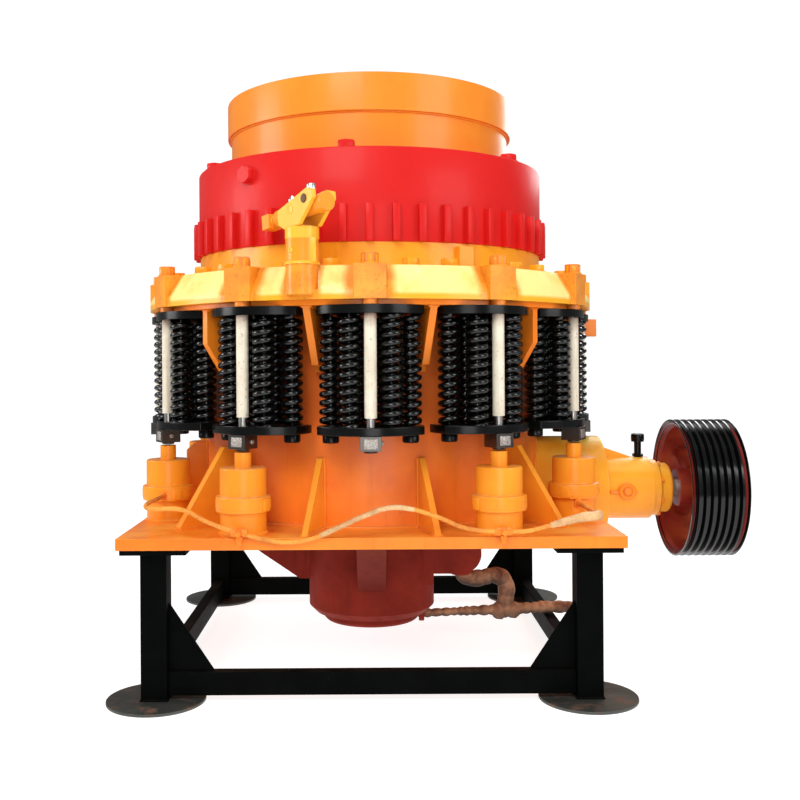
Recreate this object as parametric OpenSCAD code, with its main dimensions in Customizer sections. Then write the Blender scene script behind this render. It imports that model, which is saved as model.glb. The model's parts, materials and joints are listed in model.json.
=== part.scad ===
// Spring cone crusher on a steel stand, drawn as separate sub-parts in one shared frame.
// Millimetres. Origin: the crusher's own axis at the floor. +X to the drive pulley, +Z up,
// the front is -Y. Angles round the axis run from the front, positive towards +X.

/* [Stand] */
// Radius of each round foot
foot_r = 190; // [150:1:220]
// Thickness of each round foot
foot_t = 12; // [6:1:30]
// How far the leg centres stand in from the edges of the base plate
leg_edge = 125; // [90:1:180]
// Width of each square leg
leg_w = 100; // [60:5:140]
// Floor to the underside of the base plate
stand_h = 598; // [450:1:800]
// Width of the square pad on each leg
pad_w = 250; // [150:5:260]
// Thickness of the pad
pad_t = 20; // [10:1:40]
// How far each pad's centre stands in from its leg's
pad_in = 12; // [0:1:30]
// Width of the low rails between the legs
rail_w = 50; // [30:1:90]
// Underside of the low rails
rail_z = 25; // [15:1:120]
// Height of the low rails
rail_h = 90; // [50:1:140]
// Reach of the triangular leg gussets along the rails
leg_gusset_w = 175; // [80:5:260]
// Height of the leg gussets above the rails
leg_gusset_h = 262; // [100:1:400]
// Thickness of the leg gussets
leg_gusset_t = 12; // [6:1:30]

/* [Base plate] */
// Margin of the base plate beyond the jacks
plate_edge = 1.3; // [0:0.1:30]
// Thickness of the base plate
plate_t = 45; // [25:1:70]

/* [Main frame] */
// Outside radius of the round frame shell
shell_r = 757; // [730:1:770]
// Wall of the frame shell
shell_t = 40; // [20:1:60]
// Underside of the top flange, over the base plate
flange_z_up = 867; // [837:1:897]
// Thickness of the top flange
flange_t = 50; // [30:1:60]
// How far the edge of the top flange stands in from the tie rods
flange_in = 15; // [12:1:20]
// Radius of the notches the tie rods pass through
notch_r = 33; // [31:0.5:38]
// Thickness of the upper ribs
rib_t = 30; // [16:1:34]
// Reach of the upper ribs beyond the shell under the flange
rib_out = 181; // [160:1:185]
// Reach of an upper rib beyond the shell at its lower end
rib_low_out = 61; // [35:1:90]
// Lower end of a long upper rib, over the base plate
rib_low_z_up = 557; // [507:5:637]
// Where a long rib's straight edge stops, over the base plate
rib_knee_z_up = 730; // [657:1:797]
// Lower end of the two front and two rear ribs, over the base plate
rib_short_z_up = 642; // [607:1:707]
// Height of the ledge a rib runs out to at the shell
rib_ledge_h = 28; // [15:1:60]
// Reach of that ledge beyond the shell
rib_ledge_out = 30; // [15:1:50]
// How far ribs and gussets are let into the shell before it is cut away
let_in = 30; // [10:1:35]

/* [Foot gussets] */
// Thickness of the four corner gussets
corner_gusset_t = 30; // [16:1:40]
// Top of a corner gusset, over the base plate
corner_gusset_z_up = 312; // [207:1:357]
// Reach of a corner gusset's flat top beyond the shell
corner_gusset_top_out = 98; // [60:1:140]
// Reach of a corner gusset beyond the shell on the plate
corner_gusset_out = 313; // [240:1:340]
// Height of a corner gusset's upright toe
corner_gusset_toe = 12; // [6:1:30]
// Thickness of the front and rear gussets
front_gusset_t = 25; // [14:1:36]
// Top of a front gusset, over the base plate
front_gusset_z_up = 277; // [157:1:337]
// Reach of a front gusset beyond the shell on the plate
front_gusset_out = 218; // [180:1:221]
// Reach of the top of a front gusset beyond the shell
front_gusset_top_out = 23; // [10:1:60]
// Reach of the two small left gussets beyond the shell
small_gusset_out = 93; // [60:1:140]
// Bevel at the top of the small left gussets
small_gusset_bevel = 40; // [15:1:60]
// Top of the small left gussets, over the base plate
small_gusset_z_up = 307; // [157:1:337]

/* [Hub and arms] */
// Radius of the hub below the base plate
hub_r = 290; // [240:1:310]
// Radius of the hub inside the shell
hub_top_r = 260; // [220:1:280]
// Underside of the hub
hub_z0 = 150; // [140:1:200]
// Top of the hub inside the shell, over the base plate
hub_z1_up = 357; // [277:1:407]
// Bevel round the hub's lower edge
hub_bevel = 30; // [10:1:40]
// Thickness of the three arms
arm_t = 120; // [60:5:160]
// Underside of an arm at the hub
arm_z0 = 300; // [260:5:340]
// Top of the arms, over the base plate
arm_z1_up = 257; // [157:5:307]
// Radius of the arm's knee on the underside
arm_knee_r = 500; // [420:5:560]
// Height of the arm's knee on the underside
arm_knee_z = 415; // [380:5:460]
// Half width of the drive pocket on the right
pocket_hw = 170; // [150:5:200]
// End of the drive pocket
pocket_x = 496; // [440:2:560]
// Underside of the drive pocket
pocket_z0 = 292; // [270:1:340]
// Bend of the drive pocket's lower corner
pocket_bend = 60; // [30:1:100]
// Radius of the bottom cover
cover_r = 222; // [160:1:255]
// Underside of the bottom cover
cover_z0 = 110; // [90:1:130]

/* [Drive] */
// Height of the countershaft's axis, over the base plate
drive_z_up = 62; // [47:1:97]
// Radius of the round collar where the housing leaves the shell
collar_r = 242; // [200:1:250]
// Length of the collar beyond the shell
collar_out = 303; // [260:1:340]
// How far the collar reaches inside the shell
collar_in = 77; // [50:1:110]
// Clear gap round the collar where it passes the base plate
collar_gap = 6; // [3:0.5:12]
// Radius of the countershaft housing
housing_r = 143; // [120:1:160]
// Bore of the countershaft housing
housing_bore_r = 110; // [80:1:125]
// Length of the housing beyond the collar
housing_l = 230; // [190:1:260]
// Inner end of the countershaft housing
housing_x0 = 300; // [280:1:340]
// Radius of the housing's end cap
cap_r = 130; // [110:1:150]
// Length of the end cap
cap_l = 95; // [70:1:105]
// Gap from the end cap's bore to the shaft
cap_gap_r = 5; // [2:0.5:10]
// Thickness of the web on top of the housing
web_t = 24; // [12:1:40]
// Height of the web above the housing at the collar
web_h = 50; // [20:1:80]
// Radius of the boss on the housing's near side
boss_r = 36; // [20:1:50]
// Position of that boss beyond the collar
boss_l = 100; // [60:1:160]
// How far the boss stands out of the housing
boss_out = 18; // [8:1:40]
// Radius of the countershaft
shaft_r = 45; // [35:1:60]
// Radial running clearance of the countershaft
shaft_fit = 0.06; // [0.02:0.01:0.1]
// Length of each bush
bush_l = 160; // [80:5:220]
// Radius of the breather's stem
breather_r = 16; // [8:1:24]
// Radius of the breather's cap
breather_cap_r = 29; // [20:1:40]
// Height of the breather's cap
breather_cap_h = 36; // [20:1:50]
// Length of the breather's stem above the housing
breather_h = 71; // [30:1:100]
// How far the breather stands in from the housing's end
breather_in = 42; // [35:1:70]

/* [Pulley] */
// Radius of the pulley
pulley_r = 316; // [260:1:330]
// Gap from the end cap to the pulley
pulley_gap = 19; // [10:1:40]
// Width of the pulley
pulley_w = 256; // [200:1:280]
// Number of belt grooves
groove_n = 8; // [4:1:10]
// Depth of a belt groove
groove_d = 21; // [12:1:26]
// Width of a groove at its mouth
groove_w = 24; // [18:0.5:25]
// Width of a groove at its floor
groove_floor = 10; // [6:0.5:14]
// Thickness of the pulley's rim under the grooves
rim_t = 24; // [14:1:40]
// Radius of the pulley's hub
pulley_hub_r = 88; // [70:1:120]
// Number of arms
pulley_arm_n = 6; // [3:1:8]
// Width of each pulley arm
pulley_arm_w = 62; // [40:1:90]
// Thickness of each pulley arm
pulley_arm_t = 60; // [30:1:100]

/* [Spring sets] */
// Number of spring sets round the frame
set_n = 12; // [12:1:12]
// How far the tie rods stand out from the shell
rod_out = 223; // [218:1:228]
// Radius of a tie rod
rod_r = 25; // [18:0.5:27]
// Lower end of the tie rods, over the base plate
rod_z0_up = 317; // [312:1:323]
// Radius of the collar on a rod between flange and ring
rod_collar_r = 29; // [26:0.5:30]
// Width across the square nuts
nut_w = 80; // [56:1:90]
// Height of the square nuts
nut_h = 54; // [30:1:54]
// Underside of the lower spring plates, over the base plate
low_plate_z_up = 379; // [372:1:397]
// Thickness of the spring plates
spring_plate_t = 32; // [16:1:36]
// Radius of the curve of a spring plate's outer edge
spring_plate_bow = 252; // [230:1:270]
// Furthest reach of a spring plate beyond the tie rods
spring_plate_out = 35; // [30:1:50]
// Nearest reach of a spring plate inside the tie rods
spring_plate_back = 190; // [186:1:200]
// Half width of a spring plate
spring_plate_hw = 203; // [198:1:208]
// Gap from a spring plate to the rib beside it
spring_plate_gap = 5; // [4:0.5:8]
// Outside radius of a coil spring
coil_r = 45; // [36:0.5:46]
// Thickness of the spring wire
coil_wire = 19; // [12:0.5:22]
// Number of coils
coil_n = 12; // [8:1:14]
// Outer pair of springs, degrees from the tie rod
coil_a_th = 4.754; // [4.35:0.001:4.95]
// Outer pair of springs, in from the tie rods
coil_a_in = 26.7; // [21.7:0.1:30.7]
// Side pair of springs, degrees from the tie rod
coil_b_th = 9.933; // [9.53:0.001:10.13]
// Side pair of springs, in from the tie rods
coil_b_in = 98.8; // [93.8:0.1:102.8]
// Inner pair of springs, degrees from the tie rod
coil_c_th = 3.61; // [3.21:0.001:3.81]
// Inner pair of springs, in from the tie rods
coil_c_in = 138.3; // [133.3:0.1:142.3]

/* [Hydraulic jacks] */
// Radius of a jack's body
jack_r = 89; // [70:1:95]
// Top of a jack's body, over the base plate
jack_z1_up = 253; // [197:1:262]
// Radius of a jack's collar
jack_collar_r = 105; // [92:1:106]
// Underside of a jack's collar, over the base plate
jack_collar_z_up = 87; // [47:1:137]
// Height of a jack's collar
jack_collar_h = 60; // [30:1:90]
// Radius of a jack's stem
jack_stem_r = 32; // [20:1:40]
// Gap from a jack's stem to the tie rod over it
jack_gap = 5; // [3:0.5:10]
// Radius of the hydraulic line
line_r = 9; // [6:0.5:14]
// Gap from the base plate's edge to the line
line_gap = 9; // [4:0.5:20]
// Radius of the line's fittings
fitting_r = 17; // [12:0.5:22]
// Height of the line's tee fittings over the base plate
line_tee_h = 23; // [18:1:60]

/* [Support ring] */
// Underside of the support ring's rim, over the base plate
ring_z0_up = 887; // [882:1:892]
// Top of the support ring, over the base plate
ring_z1_up = 1017; // [987:1:1047]
// Height where the ring's cone starts, over the base plate
ring_cone_z_up = 924; // [907:1:957]
// Reach of the support ring's rim beyond the tie rods
ring_out = 23; // [18:1:30]
// How far the ring's top edge stands in from the tie rods
ring_top_in = 35; // [20:1:50]
// Width of the clamp ring, from its bore to its outside
clamp_w = 80; // [60:1:100]
// Gap round the frame flange inside the ring's skirt
ring_gap = 5; // [4:0.5:8]
// Seat gap between the ring and the top of the frame flange
ring_seat = 0.3; // [0.2:0.1:1]
// Width of the flat boss at each tie rod
rod_boss_w = 122; // [90:1:140]
// Reach of the flat bosses beyond the tie rods
rod_boss_out = 35; // [30:1:45]
// How far the bosses start outside the ring's bore
boss_in = 60; // [30:1:90]
// Width of the boss under each ram
ram_boss_w = 145; // [130:1:170]
// How far the clamp ring stands in from the cap's side
clamp_in = 5; // [2:1:25]
// Top of the clamp ring, over the base plate
clamp_z1_up = 1124; // [1097:1:1147]
// Width of the clamp ring's stop block
key_w = 66; // [50:1:130]
// How far the stop block stands out
key_out = 26; // [10:1:40]
// Direction of the stop block
key_th = 28.5; // [20:0.5:32]

/* [Adjustment rams] */
// Direction of the first ram's post
ram_th = -15; // [-18:1:-12]
// Distance of the posts beyond the turning lugs
ram_post_out = 165; // [155:1:175]
// Radius of a post
ram_post_r = 62; // [50:1:70]
// Top of a post, over the base plate
ram_post_z1_up = 1157; // [1137:1:1177]
// Radius of a ram's cylinder
ram_r = 31; // [20:1:33]
// Height of a ram's axis over its post, over the base plate
ram_z_up = 1223; // [1207:1:1237]
// Direction a ram points in
ram_aim = 128.9; // [120:0.1:140]
// Length of a ram's cylinder behind its pin
ram_back = 135; // [100:1:160]
// Length of a ram's cylinder before its pin
ram_front = 150; // [120:1:160]
// Radius of a ram's rod
ram_rod_r = 16; // [10:1:22]
// Width of the square head on a ram's rod
ram_head_w = 56; // [40:1:60]
// Length of that head
ram_head_l = 48; // [30:1:60]
// Radius of a ram's cross pin
ram_pin_r = 17; // [10:1:22]
// Thickness of the clevis plates
clevis_t = 18; // [10:1:24]
// Clevis plates, out from the ram's axis
clevis_off = 45; // [43:1:50]

/* [Adjustment cap] */
// How far the cap's side stands out from the frame shell
cap_out = 28; // [13:1:38]
// Running gap between the clamp ring and the cap
cap_gap = 0.3; // [0.2:0.1:2]
// Top of the cap, over the base plate
cap_z1_up = 1497; // [1437:1:1557]
// Wall of the cap
cap_wall = 28; // [16:1:40]
// Thickness of the cap's top plate
cap_top_t = 34; // [20:1:50]
// How far the bore of the cap's top plate stands in from the drum
cap_bore_in = 76; // [40:1:100]
// Number of turning lugs
lug_n = 48; // [36:1:60]
// How far the turning lugs stand out of the cap
lug_out = 25; // [15:1:27]
// Width of a turning lug
lug_w = 30; // [18:1:40]
// Top of the turning lugs, over the base plate
lug_z1_up = 1272; // [1237:1:1307]
// How far the cap's bolts stand in from its side
cap_bolt_in = 49; // [40:1:75]
// Direction of the first of the six cap bolts
cap_bolt_th = -7; // [-15:1:15]
// Width of the cap bolts across the flats
cap_bolt_w = 64; // [40:1:72]
// Height of the cap bolts
cap_bolt_h = 31; // [16:1:40]
// Direction of the bolt in the cap's side
side_bolt_th = -39; // [-50:1:-25]
// Height of the bolt in the cap's side, over the base plate
side_bolt_z_up = 1417; // [1377:1:1447]
// Number of bolts on the support ring
ring_bolt_n = 24; // [24:1:24]
// How far the ring's bolts stand out from the clamp ring
ring_bolt_out = 113; // [100:1:120]
// Width of those bolts across the flats
ring_bolt_w = 60; // [40:1:66]
// Height of those bolts
ring_bolt_h = 30; // [16:1:40]
// Spacing of those bolts from the nearest tie rod, in degrees
ring_bolt_step = 10; // [9:0.5:11]

/* [Feed hopper] */
// How far the drum stands in from the circle of cap bolts
drum_in = 100; // [86:1:130]
// Wall of the drum
drum_t = 12; // [8:1:20]
// Top of the drum, over the base plate
drum_z1_up = 1797; // [1757:1:1817]
// Wall of the rim band
hopper_rim_t = 17; // [10:1:24]
// Underside of the rim band, over the base plate
hopper_rim_z0_up = 1670; // [1647:1:1697]
// Top of the rim band, over the base plate
hopper_rim_z1_up = 1825; // [1807:1:1857]

/* [Crushing chamber] */
// Gap from the bowl to the bore of the rings
bowl_gap = 60; // [40:1:90]
// Underside of the bowl, over the base plate
bowl_z0_up = 857; // [837:1:887]
// Wall of the bowl at its underside
bowl_low_t = 80; // [60:1:100]
// How far the bowl's inside draws in towards its top
bowl_draw = 120; // [90:1:130]
// Wall of the bowl's liner at its underside
liner_low_t = 66; // [30:1:70]
// Wall of the liner at its top
liner_high_t = 50; // [30:1:60]
// Gap from the head's skirt to the liner at rest
head_gap = 42; // [24:1:70]
// Height of the skirt's edge, over the base plate
head_z_up = 837; // [827:1:852]
// Radius of the head's neck
head_neck_r = 200; // [160:1:240]
// Height of the head's neck, over the base plate
head_neck_z_up = 1357; // [1307:1:1397]
// Radius of the feed plate on the head
feed_plate_r = 270; // [200:1:300]
// Underside of the feed plate, over the base plate
feed_plate_z_up = 1413; // [1397:1:1437]
// Thickness of the feed plate
feed_plate_t = 30; // [20:1:40]
// Radius of the head's seat on the hub
seat_r = 330; // [270:1:380]
// Top of that seat, over the base plate
seat_z1_up = 757; // [657:1:787]

/* [Oil pipes] */
// Radius of the lagged oil pipes
oil_r = 25; // [16:1:26]
// Height of the long oil pipe where it leaves the bottom cover
oil_z = 121; // [116:1:123]
// Height of the long oil pipe at its far end
oil_end_z = 148; // [130:1:170]
// Far end of the long oil pipe
oil_end_x = 956; // [860:1:1000]
// Where the upper oil pipe joins the long one
oil_tee_x = 612; // [560:1:660]
// Height of the upper oil pipe
oil_top_z = 284; // [270:1:300]
// Length of the union
union_l = 56; // [30:1:80]
// Radius of the union at the end of the oil pipes
union_r = 42; // [32:1:48]

/* [Side lug] */
// Direction of the side lug
side_lug_th = 105; // [105:30:105]
// Reach of the side lug beyond the ribs
side_lug_l = 222; // [120:1:240]
// Top of the side lug, over the base plate
side_lug_z1_up = 862; // [837:1:865]
// Depth of the side lug's end
side_lug_h = 86; // [50:1:110]

/* [Hidden] */
round_n = 96;
fine_n = 240;
small_n = 40;
bead = 1.2;
// stand
leg_top = stand_h - pad_t;
plate_z1 = stand_h + plate_t;
rail_top = rail_z + rail_h;
// heights over the base plate
flange_z = plate_z1 + flange_z_up;
rib_low_z = plate_z1 + rib_low_z_up;
rib_knee_z = plate_z1 + rib_knee_z_up;
rib_short_z = plate_z1 + rib_short_z_up;
corner_gusset_z = plate_z1 + corner_gusset_z_up;
front_gusset_z = plate_z1 + front_gusset_z_up;
small_gusset_z = plate_z1 + small_gusset_z_up;
hub_z1 = plate_z1 + hub_z1_up;
arm_z1 = plate_z1 + arm_z1_up;
drive_z = plate_z1 + drive_z_up;
rod_z0 = plate_z1 + rod_z0_up;
low_plate_z = plate_z1 + low_plate_z_up;
jack_z1 = plate_z1 + jack_z1_up;
jack_collar_z = plate_z1 + jack_collar_z_up;
ring_z0 = plate_z1 + ring_z0_up;
ring_z1 = plate_z1 + ring_z1_up;
ring_cone_z = plate_z1 + ring_cone_z_up;
clamp_z1 = plate_z1 + clamp_z1_up;
ram_post_z1 = plate_z1 + ram_post_z1_up;
ram_z = plate_z1 + ram_z_up;
cap_z1 = plate_z1 + cap_z1_up;
lug_z1 = plate_z1 + lug_z1_up;
side_bolt_z = plate_z1 + side_bolt_z_up;
drum_z1 = plate_z1 + drum_z1_up;
hopper_rim_z0 = plate_z1 + hopper_rim_z0_up;
hopper_rim_z1 = plate_z1 + hopper_rim_z1_up;
bowl_z0 = plate_z1 + bowl_z0_up;
head_z = plate_z1 + head_z_up;
head_neck_z = plate_z1 + head_neck_z_up;
feed_plate_z = plate_z1 + feed_plate_z_up;
seat_z1 = plate_z1 + seat_z1_up;
side_lug_z1 = plate_z1 + side_lug_z1_up;
// frame
shell_in = shell_r - shell_t;
rod_ring_r = shell_r + rod_out;
set_step = 360 / set_n;
plate_w = 2 * (rod_ring_r * cos(set_step) + jack_collar_r + plate_edge);
leg_off = plate_w / 2 - leg_edge;
flange_r = rod_ring_r - flange_in;
flange_z1 = flange_z + flange_t;
rib_th = set_step / 2;
rib_r = shell_r + rib_out;
rib_low_r = shell_r + rib_low_out;
ledge_r = shell_r + rib_ledge_out;
inside_r = shell_r - let_in;
leg_in = leg_off - leg_w / 2;
side_lug_r = rib_r + side_lug_l;
// drive
collar_x = shell_r + collar_out;
collar_x0 = shell_in - collar_in;
housing_x = collar_x + housing_l;
cap_x = housing_x + cap_l;
boss_x = collar_x + boss_l;
breather_x = housing_x - breather_in;
pulley_x = cap_x + pulley_gap;
housing_top = drive_z + housing_r;
pulley_x1 = pulley_x + pulley_w;
groove_pitch = pulley_w / groove_n;
rim_in = pulley_r - groove_d - rim_t;
pulley_mid = pulley_x + pulley_w / 2;
shaft_x0 = housing_x0 + 12;
// spring sets
rod_z1 = ring_z1;
head_w = 58;
head_h = 40;
low_plate_z1 = low_plate_z + spring_plate_t;
top_plate_z = flange_z - spring_plate_t;
coil_h = top_plate_z - low_plate_z1;
spring_plate_r = rod_ring_r + spring_plate_out;
spring_plate_in = rod_ring_r - spring_plate_back;
coils = [for (c = [[coil_a_th, coil_a_in], [coil_b_th, coil_b_in], [coil_c_th, coil_c_in]], m = [1, -1])
  (rod_ring_r - c[1]) * [m * sin(c[0]), cos(c[0])]];
coil_low = coil_r - coil_wire * 0.45;
coil_in = coil_r - coil_wire;
// jacks
jack_ths = [for (i = [1, 2, 4, 5], m = [1, -1]) m * i * set_step];
jack_stem_z1 = rod_z0 - jack_gap;
line_y = -(plate_w / 2 + line_r + line_gap);
// ring, cap
cap_body_r = shell_r + cap_out;
clamp_r = cap_body_r - clamp_in;
ring_bore_r = clamp_r - clamp_w;
ring_bolt_ring_r = clamp_r + ring_bolt_out;
ring_r = rod_ring_r + ring_out;
ring_top_r = rod_ring_r - ring_top_in;
rod_boss_r = rod_ring_r + rod_boss_out;
lug_r = cap_body_r + lug_out;
ram_post_ring = lug_r + ram_post_out;
cap_bolt_ring_r = cap_body_r - cap_bolt_in;
drum_r = cap_bolt_ring_r - drum_in;
cap_bore_r = drum_r - cap_bore_in;
bowl_r = ring_bore_r - bowl_gap;
bowl_in_low = bowl_r - bowl_low_t;
bowl_in_high = bowl_in_low - bowl_draw;
head_r = bowl_in_low - liner_low_t - head_gap;
recess_z = flange_z1 + ring_seat;
recess_r = flange_r + ring_gap;
cap_z0 = clamp_z1 + cap_gap;
cap_top_z = cap_z1 - cap_top_t;
ram_head_t = ram_front + 34;

// ---- helpers ----
module spin(th) { rotate([0, 0, th]) children(); }
module out_at(r, z = 0) { translate([0, -r, z]) children(); }
module ring(ro, ri, z0, z1, n = round_n) {
  difference() {
    translate([0, 0, z0]) cylinder(r = ro, h = z1 - z0, $fn = n);
    translate([0, 0, z0 - 1]) cylinder(r = ri, h = z1 - z0 + 2, $fn = n);
  }
}
module radial_plate(pts, t) {
  rotate([90, 0, -90]) translate([0, 0, -t / 2]) linear_extrude(t) polygon(pts);
}
module x_cyl(r, x0, x1) {
  translate([x0, 0, 0]) rotate([0, 90, 0]) cylinder(r = r, h = x1 - x0, $fn = round_n);
}
module hex(w, h) { cylinder(d = w / cos(30), h = h, $fn = 6); }
module seg(a, b, r) {
  d = b - a;
  l = norm(d);
  translate(a) rotate([0, acos(d[2] / l), atan2(d[1], d[0])]) cylinder(r = r, h = l, $fn = small_n);
}
// A bead at a bend: its poles stand square to the bend and its seam is on the outer side.
module bend(a, p, b, r) {
  u = (p - a) / norm(p - a);
  v = (b - p) / norm(b - p);
  x = (u - v) / norm(u - v);
  z = cross(u, v) / norm(cross(u, v));
  y = cross(z, x);
  translate(p) rotate([atan2(y[2], z[2]), -asin(x[2]), atan2(x[1], x[0])]) sphere(r = r, $fn = small_n);
}
module run(pts, r) {
  for (i = [0 : len(pts) - 2]) seg(pts[i], pts[i + 1], r);
  for (i = [1 : len(pts) - 2]) bend(pts[i - 1], pts[i], pts[i + 1], r * bead);
}
module sets() { for (i = [0 : set_n - 1]) spin(i * set_step) children(); }
module corners() {
  for (sx = [-1, 1], sy = [-1, 1]) translate([sx * leg_off, sy * leg_off, 0]) children();
}

// ---- stand ----
module foot_discs() {
  color([0.62, 0.62, 0.62]) corners() cylinder(r = foot_r, h = foot_t, $fn = round_n);
}

module legs() {
  color([0.09, 0.09, 0.10]) corners()
    translate([-leg_w / 2, -leg_w / 2, foot_t]) cube([leg_w, leg_w, leg_top - foot_t]);
}

module leg_gussets() {
  color([0.09, 0.09, 0.10])
    for (sx = [-1, 1], sy = [-1, 1]) scale([sx, sy, 1])
      translate([0, leg_off + leg_gusset_t / 2, 0]) rotate([90, 0, 0]) linear_extrude(leg_gusset_t)
        polygon([[leg_in, rail_top], [leg_in - leg_gusset_w, rail_top],
          [leg_in, rail_top + leg_gusset_h]]);
}

module leg_pads() {
  off = leg_off - pad_in;
  color([0.09, 0.09, 0.10]) for (sx = [-1, 1], sy = [-1, 1])
    translate([sx * off - pad_w / 2, sy * off - pad_w / 2, leg_top]) cube([pad_w, pad_w, pad_t]);
}

module rails() {
  color([0.09, 0.09, 0.10]) for (a = [0 : 3]) rotate([0, 0, 90 * a])
    translate([-leg_in, leg_off - rail_w / 2, rail_z]) cube([2 * leg_in, rail_w, rail_h]);
}

module base_plate() {
  color([0.98, 0.62, 0.07]) difference() {
    translate([-plate_w / 2, -plate_w / 2, stand_h]) cube([plate_w, plate_w, plate_t]);
    translate([0, 0, stand_h - 1]) cylinder(r = shell_in, h = plate_t + 2, $fn = round_n);
    translate([0, -collar_r - collar_gap, stand_h - 1])
      cube([plate_w, 2 * (collar_r + collar_gap), plate_t + 2]);
  }
}

// ---- main frame ----
module frame_shell() {
  color([0.97, 0.58, 0.08]) difference() {
    ring(shell_r, shell_in, plate_z1, flange_z);
    translate([0, 0, drive_z]) x_cyl(collar_r, 0, collar_x);
  }
}

module frame_flange() {
  color([0.97, 0.58, 0.08]) difference() {
    ring(flange_r, shell_in, flange_z, flange_z1, fine_n);
    sets() out_at(rod_ring_r, flange_z - 1) cylinder(r = notch_r, h = flange_t + 2, $fn = small_n);
  }
}

module flange_ribs() {
  color([0.97, 0.58, 0.08]) difference() {
    for (i = [0 : set_n - 1]) spin(rib_th + i * set_step)
      if (i == 0 || i == 5 || i == 6 || i == 11)
        radial_plate([[inside_r, flange_z], [rib_r, flange_z], [rib_low_r + 11, rib_short_z],
          [ledge_r, rib_short_z], [ledge_r, rib_short_z - rib_ledge_h],
          [inside_r, rib_short_z - rib_ledge_h]], rib_t);
      else
        radial_plate([[inside_r, flange_z], [rib_r, flange_z], [rib_r, rib_knee_z],
          [rib_low_r, rib_low_z], [inside_r, rib_low_z]], rib_t);
    translate([0, 0, plate_z1]) cylinder(r = shell_r, h = flange_z, $fn = round_n);
  }
}

module base_gussets() {
  small_r = shell_r + small_gusset_out;
  color([0.97, 0.58, 0.08]) difference() {
    union() {
      for (i = [0 : 3]) spin(3 * rib_th + 90 * i)
        radial_plate([[inside_r, plate_z1], [shell_r + corner_gusset_out, plate_z1],
          [shell_r + corner_gusset_out, plate_z1 + corner_gusset_toe],
          [shell_r + corner_gusset_top_out, corner_gusset_z], [inside_r, corner_gusset_z]], corner_gusset_t);
      for (i = [-1, 1], a = [0, 180]) spin(a + i * rib_th)
        radial_plate([[inside_r, plate_z1], [shell_r + front_gusset_out, plate_z1],
          [shell_r + front_gusset_top_out, front_gusset_z], [inside_r, front_gusset_z]], front_gusset_t);
      for (i = [-1, 1]) spin(i * rib_th - 90)
        radial_plate([[inside_r, plate_z1], [small_r, plate_z1],
          [small_r, small_gusset_z - small_gusset_bevel],
          [small_r - small_gusset_bevel, small_gusset_z], [inside_r, small_gusset_z]], front_gusset_t);
    }
    translate([0, 0, plate_z1 - 1]) cylinder(r = shell_r, h = flange_z, $fn = round_n);
  }
}

module side_lug() {
  z1 = side_lug_z1;
  color([0.97, 0.50, 0.10]) spin(side_lug_th)
    radial_plate([[rib_r, z1], [side_lug_r, z1], [side_lug_r, z1 - side_lug_h],
      [side_lug_r - 56, z1 - side_lug_h], [side_lug_r - 92, z1 - side_lug_h + 20],
      [side_lug_r - 136, z1 - side_lug_h + 32], [rib_r, z1 - side_lug_h + 30]], rib_t);
}

module pocket_profile() {
  k = pocket_x - pocket_bend;
  translate([0, pocket_z0]) square([k, arm_z1 - pocket_z0]);
  translate([0, pocket_z0 + pocket_bend]) square([pocket_x, arm_z1 - pocket_z0 - pocket_bend]);
  translate([k, pocket_z0 + pocket_bend]) circle(r = pocket_bend, $fn = small_n);
  translate([0, drive_z - pocket_hw]) square([collar_x0, arm_z1 - drive_z + pocket_hw]);
}

module hub_body() {
  rotate_extrude($fn = round_n)
    polygon([[0, hub_z0], [hub_r - hub_bevel, hub_z0], [hub_r, hub_z0 + hub_bevel], [hub_r, stand_h],
      [hub_top_r, plate_z1 + 20], [hub_top_r, hub_z1], [0, hub_z1]]);
}

module pocket_body() {
  translate([0, pocket_hw, 0]) rotate([90, 0, 0]) linear_extrude(2 * pocket_hw) pocket_profile();
}

module hub_and_arms() {
  color([0.45, 0.16, 0.11]) difference() {
    union() {
      hub_body();
      intersection() {
        for (th = [0, 180, -90]) spin(th)
          radial_plate([[100, arm_z0], [hub_r + 40, arm_z0], [arm_knee_r, arm_knee_z], [shell_r, stand_h],
            [shell_r, arm_z1], [100, arm_z1]], arm_t);
        union() {
          cylinder(r = shell_r - 1, h = stand_h, $fn = round_n);
          cylinder(r = shell_in, h = flange_z, $fn = round_n);
        }
      }
      intersection() {
        pocket_body();
        cylinder(r = shell_in, h = flange_z, $fn = round_n);
      }
    }
    translate([0, 0, drive_z]) x_cyl(housing_r, housing_x0, shell_r + 10);
  }
}

module hub_cover() {
  color([0.42, 0.14, 0.10]) rotate_extrude($fn = round_n)
    polygon([[0, cover_z0], [cover_r - 12, cover_z0], [cover_r, cover_z0 + 12], [cover_r, hub_z0],
      [0, hub_z0]]);
}

// ---- drive ----
module drive_collar() {
  color([0.97, 0.58, 0.08]) translate([0, 0, drive_z]) difference() {
    x_cyl(collar_r, collar_x0, collar_x);
    x_cyl(housing_r, collar_x0 - 1, collar_x + 1);
  }
}

module countershaft_housing() {
  color([0.97, 0.58, 0.08]) translate([0, 0, drive_z]) difference() {
    union() {
      x_cyl(housing_r, housing_x0, housing_x);
      translate([0, web_t / 2, 0]) rotate([90, 0, 0]) linear_extrude(web_t)
        polygon([[collar_x, 0], [collar_x, housing_r + web_h], [collar_x + 12, housing_r + web_h],
          [collar_x + 156, housing_r], [collar_x + 156, 0]]);
      translate([boss_x, 0, 0]) rotate([90, 0, 0])
        cylinder(r = boss_r, h = housing_r + boss_out, $fn = small_n);
    }
    x_cyl(housing_bore_r, housing_x0 + 8, housing_x + 1);
    x_cyl(shaft_r + 10, housing_x0 - 1, housing_x0 + 9);
  }
}

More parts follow.
